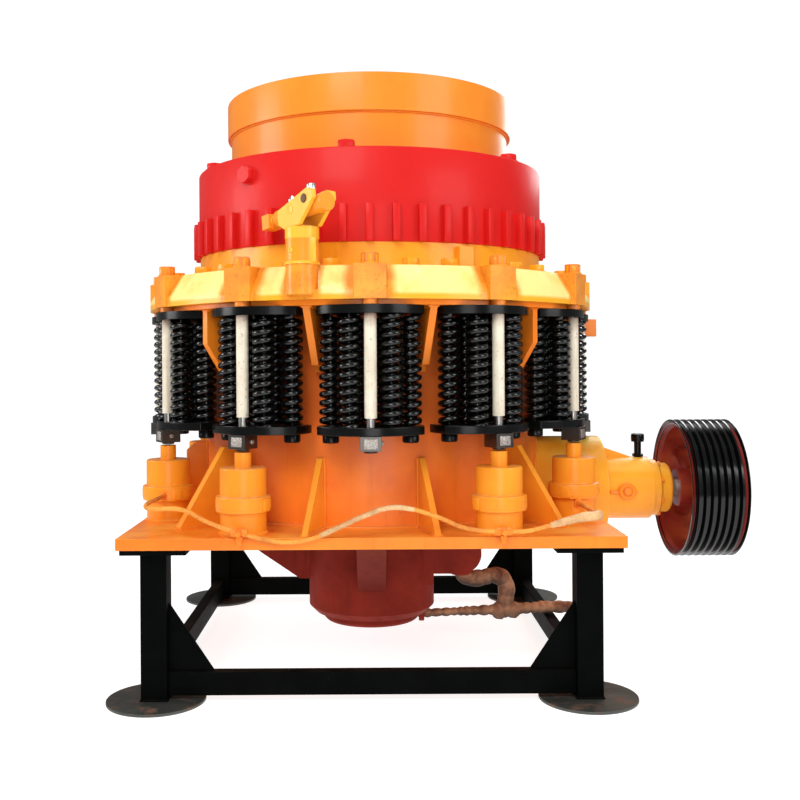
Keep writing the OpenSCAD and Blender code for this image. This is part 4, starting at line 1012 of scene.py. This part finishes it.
class CRUSHER_OT_fasteners(bpy.types.Operator):
    """Set the ring bolts, cap bolts, rod crowns, plate nuts and set screws"""

    bl_idname = "crusher.fasteners"
    bl_label = "Fasteners"

    def bolts(self):
        """Bolts each side of a boss and round the cap, no two turned alike."""
        ring = [spin(turn + 10 * side) @ at(0, -RING_BOLT_RING, RING_TOP) @ spin(17 * k + 31 * side)
                for k, turn in enumerate(SET_TURNS) for side in (-1, 1)]
        done(copies(hex_head(0.060, 0.030), ring), "ring_bolts_detailed", "ring", "rusty_yellow",
             "yellow_paint", ["ring_bolts"])
        cap = [spin(60 * i - 7) @ at(0, -CAP_BOLT_RING, CAP_TOP) @ spin(13 * i) for i in range(6)]
        side_bolt = spin(-39) @ at(0, -0.7835, 2.060) @ turned(90, "X")
        done(copies(hex_head(0.064, 0.031), [*cap, side_bolt]), "cap_bolts_detailed", "bowl", "red",
             "red_paint", ["cap_bolts"])

    def execute(self, context):
        self.bolts()
        rod_top = box("tie_rods")[1][2]
        crown = lathe([(0.030, 0), (0.033, 0.004), (0.0325, 0.026), (0.028, 0.036),
                       (0.017, 0.0405)], 28)
        moved(crown, at(0, 0, rod_top - 0.0395) @ Matrix.Diagonal((0.86, 0.86, 0.995, 1)))
        nut = moved(hex_head(0.058, 0.034), at(0, 0, rod_top - 0.040))
        assemble([nut, crown], "rod_crowns", "ring", "rusty_yellow", "yellow_paint", places=ROD_PLACES)
        stud = lathe([(0.030, 0.003), (0.032, 0), (0.032, -0.026), (0.029, -0.030),
                      (0.015, -0.030)], 26)
        moved(stud, at(0, 0, box("spring_bottom_plates")[0][2] - 0.003))
        aside, out = STUD_SPOT
        studs = copies(stud, [spin(turn) @ at(side * aside, -out, 0) for turn in SET_TURNS
                              for side in (-1, 1)])
        done(studs, "plate_studs", "ring", "black", "black_paint")
        middle = sum(corner[2] for corner in box("rod_nuts")) / 2
        screw = lathe([(0.009, 0), (0.009, 0.006), (0.007, 0.008), (0.004, 0.008), (0.004, 0.003)], 14)
        moved(screw, at(0.040, 0, middle) @ turned(90, "Y"))
        plate = block((0.050, 0.0022, 0.036), (0, -0.0405, middle), 0.0008)
        assemble([screw, plate], "rod_nut_trim", "ring", "stamped", "bare_steel", places=ROD_PLACES)
        return {"FINISHED"}


class CRUSHER_OT_welds(bpy.types.Operator):
    """Lay the fillet welds of the frame, stand, cap and hopper"""

    bl_idname = "crusher.welds"
    bl_label = "Welds"

    def bead(self, places, leg=1.0):
        return tube(places, sizes().weld * leg, 8, ripple=0.16, pitch=0.011, lump=0.06)

    def plate_welds(self, thick, low, high, reach, along):
        """Both sides of one radial plate: up the shell, and out at the height along."""
        beads = []
        for x in (-thick / 2 - 0.001, thick / 2 + 0.001):
            y = -SHELL_R - 0.002
            beads.append(self.bead(straight((x, y, low), (x, y, high)), 0.8))
            beads.append(self.bead(straight((x, -SHELL_R, along), (x, -reach, along)), 0.8))
        return join(beads)

    def saddle(self, foot):
        """Places where the drive collar's round meets the shell's, above the base plate."""
        radius, places = box("drive_collar")[1][2] - AXIS_Z + 0.002, []
        for i in range(-60, 61):
            turn = math.radians(1.75 * i)
            y, z = radius * math.sin(turn), AXIS_Z + radius * math.cos(turn)
            if z > foot:
                places.append(Vector((math.sqrt((SHELL_R + 0.002) ** 2 - y * y), y, z)))
        return places

    def execute(self, context):
        foot, roof = PLATE_TOP + 0.001, FLANGE_LOW - 0.001
        # name, plate's thickness, low and high end, reach, height of the weld along, plates' turns
        plates = [
            ("corner_gusset_welds", 0.030, foot, 0.955, 1.068, foot, (45, 135, -45, -135)),
            ("front_gusset_welds", 0.025, foot, 0.920, 0.973, foot, (15, -15, 165, -165)),
            ("small_gusset_welds", 0.025, foot, 0.950, 0.848, foot, (-75, -105)),
            ("long_rib_welds", 0.030, 1.202, FLANGE_LOW, 0.936, roof,
             (45, 75, 105, 135, 225, 255, 285, 315)),
            ("short_rib_welds", 0.030, 1.259, FLANGE_LOW, 0.936, roof, (15, 165, 195, 345)),
        ]
        for name, *plate, turns in plates:
            welds = copies(self.plate_welds(*plate), [spin(turn) for turn in turns])
            done(welds, name, "frame", "orange", "orange_paint")
        shell = join([self.bead(arc(SHELL_R + 0.001, foot + 0.001, 109, 431)),
                      self.bead(arc(SHELL_R + 0.001, roof, 0, 360))])
        done(shell, "shell_welds", "frame", "orange", "orange_paint")
        done(self.bead(self.saddle(foot), 1.1), "collar_weld", "frame", "orange", "orange_paint")
        rim_low = box("hopper_rim")[0][2]
        seams = [self.bead(arc(DRUM_R + 0.001, CAP_TOP + 0.001, 0, 360), 0.7),
                 self.bead(arc(DRUM_R + 0.001, rim_low - 0.001, 0, 360), 0.6)]
        upright = straight((0, 0.003 - DRUM_R, CAP_TOP), (0, 0.003 - DRUM_R, rim_low))
        seams += [self.bead([spin(turn) @ place for place in upright], 0.6) for turn in (-52, 128)]
        done(join(seams), "hopper_welds", "bowl", "hopper", "orange_paint")
        far = box("legs")[1][0]
        near = far - 0.100
        leg = [(near, near), (far, near), (far, far), (near, far), (near, near)]
        corner = join([self.bead(straight((*a, z), (*b, z)), 0.6)
                       for z in (box("leg_pads")[0][2] - 0.002, box("foot_discs")[1][2] + 0.002)
                       for a, b in zip(leg, leg[1:])])
        stand = copies(corner, [Matrix.Diagonal((x, y, 1, 1)) for x in (-1, 1) for y in (-1, 1)])
        done(edit(stand, FACE_OUT), "stand_welds", "frame", "stand", "black_paint")
        return {"FINISHED"}


class CRUSHER_OT_jack_fittings(bpy.types.Operator):
    """Band the hydraulic jacks: a cap, a foot ring and a clamp with its ears on each"""

    bl_idname = "crusher.jack_fittings"
    bl_label = "Jack fittings"

    def execute(self, context):
        low, high = (corner[2] for corner in box("jack_bodies"))
        band = 0.760
        cap = lathe([(0.0865, high - 0.014), (0.0885, high - 0.013), (0.0885, high - 0.004),
                     (0.085, high + 0.0005), (0.040, high + 0.001)], 48)
        foot = lathe([(0.087, low), (0.096, low), (0.096, low + 0.007), (0.089, low + 0.013),
                      (0.087, low + 0.013)], 48, hollow=True)
        clamp = lathe([(0.1035, band - 0.018), (0.1065, band - 0.016), (0.1065, band + 0.016),
                       (0.1035, band + 0.018)], 48, hollow=True)
        ears = [block((0.010, 0.036, 0.046), (side * 0.108, 0, band - 0.001), 0.003)
                for side in (-1, 1)]
        jacks = [spin(side * turn) @ at(0, -ROD_RING, 0)
                 for side in (1, -1) for turn in (30, 60, 120, 150)]
        assemble([cap, foot, clamp, *ears], "jack_trim", "frame", "amber", "orange_paint",
                 places=jacks)
        return {"FINISHED"}


class CRUSHER_OT_hydraulic_line(bpy.types.Operator):
    """Run the taped line from jack to jack, with its tees and elbows"""

    bl_idname = "crusher.hydraulic_line"
    bl_label = "Hydraulic line"

    def tee(self, reach):
        """A tee at the origin: its run along X, its nuts, a stem back to the jack and a knob."""
        small_nut = hex_head(0.026, 0.013, washer=False)
        return join([
            lathe([(0.010, -0.024), (0.0155, -0.024), (0.0155, -0.012), (0.013, -0.010),
                   (0.013, 0.010), (0.0155, 0.012), (0.0155, 0.024), (0.010, 0.024)], 20, "X"),
            moved(lathe([(0.0100, reach), (0.0100, -0.004), (0.0125, -0.010), (0.0125, -0.022)], 18),
                  turned(-90, "X")),
            moved(hex_head(0.027, 0.014, washer=False), at(0, 0.016, 0) @ turned(-90, "X")),
            moved(hex_head(0.024, 0.016, washer=False), at(0, 0, -0.014) @ turned(180, "X")),
            lathe([(0.008, -0.028), (0.011, -0.031), (0.0105, -0.043), (0.006, -0.047)], 18),
            copies(small_nut, [at(side * 0.019, 0, 0) @ turned(90 * side, "Y") for side in (-1, 1)])])

    def execute(self, context):
        # jx and ix are the outer and inner front jacks, jy is the outer ones' faces,
        # and the line runs along y, just off the plate's edge, near its top z
        jx, ix = ROD_RING * math.sin(math.radians(60)), ROD_RING / 2
        jy = -ROD_RING / 2 - 0.089
        y, z = box("base_plate")[0][1] - 0.018, PLATE_TOP
        left_z, right_z, tee_z = z + 0.114, z + 0.073, z + 0.023
        points = [
            (-jx, jy + 0.002, left_z), (-jx, jy - 0.05, left_z), (-jx, y + 0.060, left_z),
            (-jx + 0.034, y, z + 0.115), (-ix - 0.206, y, z + 0.109), (-ix - 0.121, y, z + 0.066),
            (-ix, y, tee_z), (-ix + 0.099, y, z - 0.002), (-ix + 0.174, y, z - 0.012),
            (-ix + 0.267, y, z), (-ix + 0.342, y, z + 0.030), (-0.017, y, z + 0.087),
            (0.059, y, z + 0.112), (ix - 0.367, y, z + 0.112), (ix - 0.251, y, z + 0.081),
            (ix - 0.142, y, z + 0.037), (ix, y, tee_z), (ix + 0.093, y, z + 0.025),
            (ix + 0.168, y, z + 0.043), (jx - 0.060, y, z + 0.075), (jx - 0.006, y + 0.022, z + 0.076),
            (jx, y + 0.080, z + 0.075), (jx, jy + 0.002, right_z)]
        way = route(points)
        line = tube(way, 0.0088, 10, ripple=0.07, pitch=0.013, lump=0.05)
        done(line, "hydraulic_line_taped", "frame", "line", "orange_paint", ["hydraulic_line"])
        front = [place for place in way if place[1] < y + 0.05]
        middle = [place for place in front if -0.19 < place[0] < 0.16]
        end = [place for place in front if place[0] > 0.66]
        wrap = [tube(middle, 0.0102, 10, ripple=0.13, pitch=0.014, lump=0.05),
                tube(end, 0.0125, 12, ripple=0.14, pitch=0.013, lump=0.10,
                     swell=lambda t: 0.85 + 0.75 * min(1.0, t * 1.6) * (1.0 if t < 0.93 else 0.9))]
        done(join(wrap), "line_wraps", "frame", "wrap", "lagging")
        reach = ROD_RING * math.cos(math.radians(30)) + 0.085 + y
        fittings = [copies(self.tee(reach), [at(side * ix, y, tee_z) for side in (-1, 1)])]
        for x, high in ((-jx, left_z), (jx, right_z)):
            union = hex_head(0.034, 0.020, washer=False)
            sleeve = lathe([(0.0125, 0.016), (0.0125, 0.038), (0.0105, 0.042)], 20)
            fittings += [moved(union, at(x, jy + 0.003, high) @ turned(90, "X")),
                         moved(sleeve, at(x, jy, high) @ turned(90, "X"))]
        assemble(fittings, "line_fittings", "frame", "orange", "orange_paint")
        return {"FINISHED"}


class CRUSHER_OT_oil_pipes(bpy.types.Operator):
    """Wind the lagging round the oil pipes under the plate"""

    bl_idname = "crusher.oil_pipes"
    bl_label = "Oil pipes"

    def execute(self, context):
        face_x = box("oil_pipes")[1][0]
        end_x, tee_x, drop_x = face_x - 0.056, 0.626, 0.418
        near_z, end_z = 0.121, 0.148  # the lower pipe's height at the hub cover and at its open end

        def height(x):
            along = (x - COVER_R) / (end_x - COVER_R)
            return near_z + (end_z - near_z) * min(1.0, max(0.0, along))

        tee_z = height(tee_x)
        before_tee = (tee_x - 0.05, 0, tee_z)
        thin = route([(COVER_R - 0.006, 0, near_z),
                      ((COVER_R + tee_x) / 2, 0, (near_z + tee_z) / 2 + 0.002), before_tee])
        thick = route([before_tee, (tee_x, 0, tee_z), (tee_x + 0.05, 0, tee_z + 0.004),
                       ((tee_x + end_x) / 2, 0, end_z - 0.002), (end_x, 0, end_z)])
        upper = route([(drop_x, 0, 0.350), (0.424, 0, 0.318), (0.450, 0, 0.288), (0.510, 0, 0.286),
                       (tee_x - 0.055, 0, 0.297), (tee_x - 0.018, 0, 0.286), (tee_x + 0.002, 0, 0.252),
                       (tee_x, 0, tee_z + 0.04), (tee_x, 0, tee_z)])
        pipes = [tube(thin, 0.0225, 14, ripple=0.22, pitch=0.036, lump=0.08,
                      swell=lambda t: 0.9 + 0.3 * t ** 4),
                 tube(thick, 0.0315, 16, ripple=0.16, pitch=0.040, lump=0.12,
                      swell=lambda t: 1.22 - 0.32 * min(1.0, t * 3.2)),
                 tube(upper, 0.0395, 18, ripple=0.09, pitch=0.045, lump=0.08)]
        for x, z, r in ((tee_x - 0.030, tee_z - 0.004, 0.0395), (tee_x + 0.034, tee_z, 0.0385)):
            ball = lathe([(0.010, -r), (r * 0.8, -r * 0.72), (r, -r * 0.2), (r * 0.97, r * 0.35),
                          (r * 0.7, r * 0.8), (0.008, r)], 18)
            pipes.append(moved(ball, at(x, 0, z) @ turned(28.65, "Y")))
        assemble(pipes, "oil_pipes_lagged", "frame", "lagging", "lagging", ["oil_pipes"], angle=60)
        collars = []
        for x0, x1, r, sides in (
                (end_x, end_x + 0.020, 0.040, 8), (end_x + 0.018, face_x, 0.034, 28),
                (end_x - 0.004, end_x + 0.004, 0.036, 28),
                (COVER_R - 0.002, COVER_R + 0.022, 0.034, 28)):
            nut = lathe([(r * 0.7, x0), (r * 0.96, x0), (r, x0 + 0.003), (r, x1 - 0.003),
                         (r * 0.96, x1), (r * 0.72, x1)], sides, "X")
            collars.append(moved(nut, at(0, 0, height((x0 + x1) / 2))))
        bore = lathe([(0.0245, face_x - 0.022), (0.025, face_x - 0.001), (0.0262, face_x + 0.0015),
                      (0.0200, face_x + 0.0015), (0.0195, face_x - 0.018)], 28, "X")
        spout = lathe([(0.058, 0.346), (0.056, 0.322), (0.047, 0.306), (0.030, 0.306)], 32)
        collars += [moved(bore, at(0, 0, end_z)), moved(spout, at(drop_x, 0, 0))]
        assemble(collars, "pipe_unions", "frame", "primer", "brown_red_paint")
        return {"FINISHED"}


class CRUSHER_OT_ram_fittings(bpy.types.Operator):
    """Add the rams' pins, end caps, plated unions and the posts' caps"""

    bl_idname = "crusher.ram_fittings"
    bl_label = "Ram fittings"

    def unions(self):
        """The plated hose unions on top of a ram, one a nipple and one a waisted cup."""
        tip = lathe([(0.0110, 0.014), (0.0150, 0.018), (0.0155, 0.025), (0.011, 0.033),
                     (0.004, 0.041)], 20)
        cup = lathe([(0.015, 0.010), (0.0115, 0.015), (0.0115, 0.030), (0.0175, 0.034), (0.0185, 0.050),
                     (0.0165, 0.055), (0.008, 0.055)], 24)
        return [moved(join([hex_head(0.028, 0.016), tip]), at(0.057, 0, 0.029)),
                moved(join([hex_head(0.034, 0.012), cup]), at(-0.069, 0, 0.029))]

    def post_trim(self):
        """A post's collar, foot, guide strip and grease plug."""
        top, strip_z = box("ram_posts")[1][2], 1.712
        collar = lathe([(0.0615, 1.7545), (0.0640, 1.7575), (0.0640, top - 0.004), (0.060, top + 0.001),
                        (0.030, top + 0.001)], 48)
        foot = lathe([(0.0675, RING_TOP), (0.0665, RING_TOP + 0.006), (0.0615, RING_TOP + 0.012)], 48)
        strip = moved(block((0.030, 0.012, 0.090), (0.046, -0.043, strip_z), 0.002), spin(8))
        plug = lathe([(0.010, 0), (0.010, 0.004), (0.008, 0.006), (0.005, 0.006), (0.004, 0.003)], 16)
        moved(plug, spin(-24) @ at(0, -0.0605, strip_z) @ turned(90, "X"))
        return [collar, foot, strip, plug]

    def execute(self, context):
        rams = [spin(turn) @ RAM_PLACE @ RAM_TILT for turn in (0, 180)]
        # a clevis's outer faces
        cheeks = [(side * 0.0538, turned(-90 * side, "X")) for side in (-1, 1)]
        assemble(self.unions(), "ram_unions", "ring", "silver", "bare_steel", places=rams)
        pin = lathe([(0.0155, 0), (0.0165, 0.001), (0.0165, 0.0035), (0.0145, 0.005), (0.006, 0.005),
                     (0.005, 0.004)], 26)
        pins = copies(pin, [at(-0.092, y, 0.020) @ outward for y, outward in cheeks])
        assemble([pins], "ram_pins", "ring", "bolt", "bare_steel", places=rams)
        cover = drum(0.0185, 0.0015, 28, 0.0005)
        covers = copies(cover, [at(0, y, 0) @ outward for y, outward in cheeks])
        assemble([covers], "ram_pin_covers", "ring", "pale_yellow", "yellow_paint", places=rams)
        back = lathe([(0.0325, -0.112), (0.0350, -0.114), (0.0350, -0.146), (0.0362, -0.147),
                      (0.0362, -0.158), (0.0340, -0.1605), (0.018, -0.1605)], 40, "X")
        front = lathe([(0.0315, 0.112), (0.0345, 0.114), (0.0345, 0.146), (0.032, 0.1505),
                       (0.022, 0.1505), (0.021, 0.158), (0.0165, 0.160)], 36, "X")
        neck = lathe([(0.020, 0.176), (0.022, 0.178), (0.022, 0.1835)], 24, "X")
        assemble([back, front, neck], "ram_end_caps", "ring", "amber", "orange_paint", places=rams)
        assemble(self.post_trim(), "ram_post_trim", "ring", "pale_yellow", "yellow_paint",
                 places=POST_PLACES)
        return {"FINISHED"}


class CRUSHER_OT_drive_trim(bpy.types.Operator):
    """Fit the taper bush, housing studs, oil plug, breather collar and cap screws"""

    bl_idname = "crusher.drive_trim"
    bl_label = "Drive trim"

    def taper_bush(self, face):
        """The bush that holds the pulley on the shaft, with three screw heads and a key."""
        bush = lathe([(SHAFT_R + 0.001, face - 0.024), (0.080, face - 0.022), (0.080, face - 0.014),
                      (0.076, face - 0.010), (SHAFT_R + 0.006, face - 0.010),
                      (SHAFT_R + 0.002, face - 0.014)], 40, "X", hollow=True)
        head = lathe([(0.010, 0), (0.010, 0.006), (0.0085, 0.008), (0.006, 0.008), (0.006, 0.004)], 18)
        moved(head, at(face - 0.013, 0, 0.061) @ turned(90, "Y"))
        key = block((0.050, 0.014, 0.006), (face - 0.032, 0, SHAFT_R + 0.001), 0.001)
        return [bush, copies(head, [turned(turn, "X") for turn in (30, 150, 270)]), key]

    def grooved_rim(self, near, face, rim, wall, lip, grooves=8):
        """The rim's outline: a lip at each end, and the grooves of the belts between them."""
        pitch, bottom, shoulder = (face - near) / grooves, rim - 0.021, rim - 0.0015
        edge = [(wall, near + 0.030), (lip, near + 0.004), (lip + 0.003, near), (shoulder, near)]
        for i in range(grooves):
            m = near + pitch * (i + 0.5)
            edge += [(rim, m - 0.0145), (rim, m - 0.0125), (shoulder, m - 0.0115), (bottom, m - 0.005),
                     (bottom, m + 0.005), (shoulder, m + 0.0115), (rim, m + 0.0125), (rim, m + 0.0145)]
        edge += [(shoulder, face), (lip + 0.003, face), (lip, face - 0.004), (wall, face - 0.030)]
        return lathe(edge, 128, "X", hollow=True)

    def web(self, near, face, wall, lip, arms=6):
        """Inside the rim: its lining, the hub and the arms between them."""
        inside, outside = wall - 0.001, wall + 0.003
        lining = lathe([(inside, near + 0.030), (lip - 0.001, near + 0.0035),
                        (lip + 0.001, near + 0.0035), (outside, near + 0.032),
                        (outside, face - 0.032), (lip + 0.001, face - 0.0035),
                        (lip - 0.001, face - 0.0035), (inside, face - 0.030)], 96, "X", hollow=True)
        hub = lathe([(SHAFT_R + 0.001, near + 0.020), (0.084, near + 0.020), (0.088, near + 0.024),
                     (0.088, face - 0.024), (0.084, face - 0.020), (SHAFT_R + 0.001, face - 0.020)],
                    56, "X", hollow=True)
        arm = block((0.060, 0.062, wall - 0.066), ((near + face) / 2, 0, (wall + 0.070) / 2), 0.012)
        return [lining, hub, copies(arm, [turned(360 / arms * i, "X") for i in range(arms)])]

    def housing_trim(self):
        """Round the shaft: cap studs and seal; on the sides: a ledge, the boss's plug and the step."""
        (_, boss_y, _), (end, _, _) = box("countershaft_housing")
        face, cap_r = box("housing_cap")[1][:2]
        boss_x, collar_x, step_r = 1.160, box("drive_collar")[1][0], AXIS_Z - 0.562
        bolt = moved(hex_head(0.024, 0.014), at(end + 0.034, 0, cap_r - 0.010) @ turned(90, "Y"))
        studs = copies(bolt, [turned(22.5 + 45 * i, "X") for i in range(8)])
        seal = lathe([(SHAFT_R + 0.006, face - 0.001), (SHAFT_R + 0.024, face - 0.001),
                      (SHAFT_R + 0.022, face + 0.003), (SHAFT_R + 0.006, face + 0.003)], 48, "X",
                     hollow=True)
        ledge = block((0.128, 0.024, 0.012), (1.146, -0.1445, -0.004), 0.003)
        boss = moved(hex_head(0.030, 0.012), at(boss_x, boss_y + 0.001, 0) @ turned(90, "X"))
        eye = lathe([(0.036, 0), (0.039, 0.002), (0.039, 0.008), (0.034, 0.012), (0.022, 0.012),
                     (0.020, 0.010)], 32)
        moved(eye, at(boss_x, boss_y + 0.010, 0) @ turned(90, "X"))
        step = lathe([(step_r, collar_x - 0.001), (step_r + 0.013, collar_x + 0.001),
                      (step_r + 0.011, collar_x + 0.012), (step_r, collar_x + 0.016)], 64, "X",
                     hollow=True)
        return [studs, seal, ledge, boss, eye, step]

    def execute(self, context):
        (near, _, _), (face, rim, _) = box("pulley")
        wall, lip, drive = rim - 0.034, rim - 0.011, [ON_DRIVE]
        assemble(self.taper_bush(face), "taper_bush", "countershaft", "hub_steel", "bare_steel",
                 places=drive)
        assemble([self.grooved_rim(near, face, rim, wall, lip)], "pulley_rim_grooved", "countershaft",
                 "grooves", "black_paint", ["pulley"], places=drive, angle=25)
        assemble(self.web(near, face, wall, lip), "pulley_web", "countershaft", "pulley", "black_paint",
                 places=drive)
        assemble(self.housing_trim(), "housing_trim", "frame", "orange", "orange_paint", places=drive)
        (left, _, low), (right, _, top) = box("breather")
        ring = lathe([(0.024, low + 0.003), (0.026, low + 0.005), (0.026, low + 0.014),
                      (0.016, low + 0.018)], 6)
        cap = lathe([(0.0292, top - 0.030), (0.0302, top - 0.028), (0.0302, top - 0.010),
                     (0.0285, top - 0.002), (0.020, top + 0.002)], 32)
        assemble([ring, cap], "breather_trim", "frame", "black", "black_paint",
                 places=[at((left + right) / 2, 0, 0)])
        return {"FINISHED"}


class CRUSHER_OT_stage(bpy.types.Operator):
    """Lay the pale floor, hang the soft lights and stand the camera"""

    bl_idname = "crusher.stage"
    bl_label = "Stage"

    def lay_floor(self):
        clear()
        bpy.ops.mesh.primitive_circle_add(vertices=128, radius=5.5, fill_type="NGON",
                                          location=(0, 0.6, -0.0005))
        floor = settle(bpy.context.object)
        floor.name = "floor"
        f = Finish("white_floor")
        pale = f.blend(f.noise(0.8, 2.0) * 0.15, (0.46, 0.46, 0.47), (0.43, 0.43, 0.44))
        floor.data.materials.append(f.surface(pale, 0.8, specular=0.1, glow=0.84))

    def light_world(self, scene):
        """A white world that lights softly, and that the camera sees brighter."""
        world = scene.world = bpy.data.worlds.new("studio_white")
        world.use_nodes = True
        nodes, links = world.node_tree.nodes, world.node_tree.links
        soft, seen = nodes["Background"], nodes.new("ShaderNodeBackground")
        for sheet, strength in ((soft, 0.24), (seen, 1.05)):
            sheet.inputs["Color"].default_value = (1.0, 1.0, 1.0, 1.0)
            sheet.inputs["Strength"].default_value = strength
        pick, mix = nodes.new("ShaderNodeLightPath"), nodes.new("ShaderNodeMixShader")
        links.new(pick.outputs["Is Camera Ray"], mix.inputs[0])
        links.new(soft.outputs[0], mix.inputs[1])
        links.new(seen.outputs[0], mix.inputs[2])
        links.new(mix.outputs[0], nodes["World Output"].inputs[0])

    def hang_lamp(self, name, place, size, power):
        """A square lamp aimed at the middle of the machine."""
        clear()
        bpy.ops.object.light_add(type="AREA", location=place)
        lamp = bpy.context.object
        lamp.name = lamp.data.name = name + "_light"
        lamp.data.size, lamp.data.energy = size, power
        lamp.rotation_euler = (Vector((0, 0, 1.2)) - Vector(place)).to_track_quat("-Z", "Y").to_euler()

    def execute(self, context):
        self.lay_floor()
        self.light_world(context.scene)
        # name, place, side in metres, power in watts
        for lamp in (("key", (-1.6, -5.4, 5.0), 2.6, 200), ("fill", (4.6, -4.0, 3.0), 2.8, 128),
                     ("front", (0.4, -6.5, 1.2), 2.4, 68), ("rim", (3.0, 4.2, 4.4), 2.6, 124),
                     ("left", (-5.0, -0.8, 2.6), 2.0, 108), ("top", (0.3, -0.6, 6.2), 3.4, 120)):
            self.hang_lamp(*lamp)
        bpy.ops.object.camera_add(location=(0, -4.65, 1.289),
                                  rotation=(math.pi / 2, math.radians(0.34), 0))
        camera = context.object
        camera.data.lens, camera.data.sensor_width = 44.7, 36
        camera.data.shift_x, camera.data.shift_y = 0.037, -0.045
        camera.data.clip_start, camera.data.clip_end = 0.05, 200
        context.scene.camera = camera
        context.scene.view_settings.view_transform = "Standard"
        return {"FINISHED"}


OPERATORS = [CRUSHER_OT_castings, CRUSHER_OT_coil_springs, CRUSHER_OT_fasteners, CRUSHER_OT_welds,
             CRUSHER_OT_jack_fittings, CRUSHER_OT_hydraulic_line, CRUSHER_OT_oil_pipes,
             CRUSHER_OT_ram_fittings, CRUSHER_OT_drive_trim, CRUSHER_OT_stage]


class CRUSHER_PT_panel(bpy.types.Panel):
    """Lists the crusher's pieces and their sizes"""

    bl_label = "Crusher"
    bl_idname = "CRUSHER_PT_panel"
    bl_space_type = "VIEW_3D"
    bl_region_type = "UI"
    bl_category = "Crusher"

    def draw(self, context):
        for group in (context.scene.crusher_paint, context.scene.crusher_sizes):
            for key in group.bl_rna.properties.keys():
                if key not in {"rna_type", "name"}:
                    self.layout.prop(group, key)
        for operator in OPERATORS:
            self.layout.operator(operator.bl_idname)


CLASSES = [CrusherPaint, CrusherSizes, *OPERATORS, CRUSHER_PT_panel]


def register():
    for kind in CLASSES:
        bpy.utils.register_class(kind)
    bpy.types.Scene.crusher_paint = bpy.props.PointerProperty(type=CrusherPaint)
    bpy.types.Scene.crusher_sizes = bpy.props.PointerProperty(type=CrusherSizes)


def unregister():
    del bpy.types.Scene.crusher_paint, bpy.types.Scene.crusher_sizes
    for kind in reversed(CLASSES):
        bpy.utils.unregister_class(kind)


def main():
    register()
    for operator in OPERATORS:
        group, name = operator.bl_idname.split(".")
        getattr(getattr(bpy.ops, group), name)()


if __name__ == "__main__":
    main()
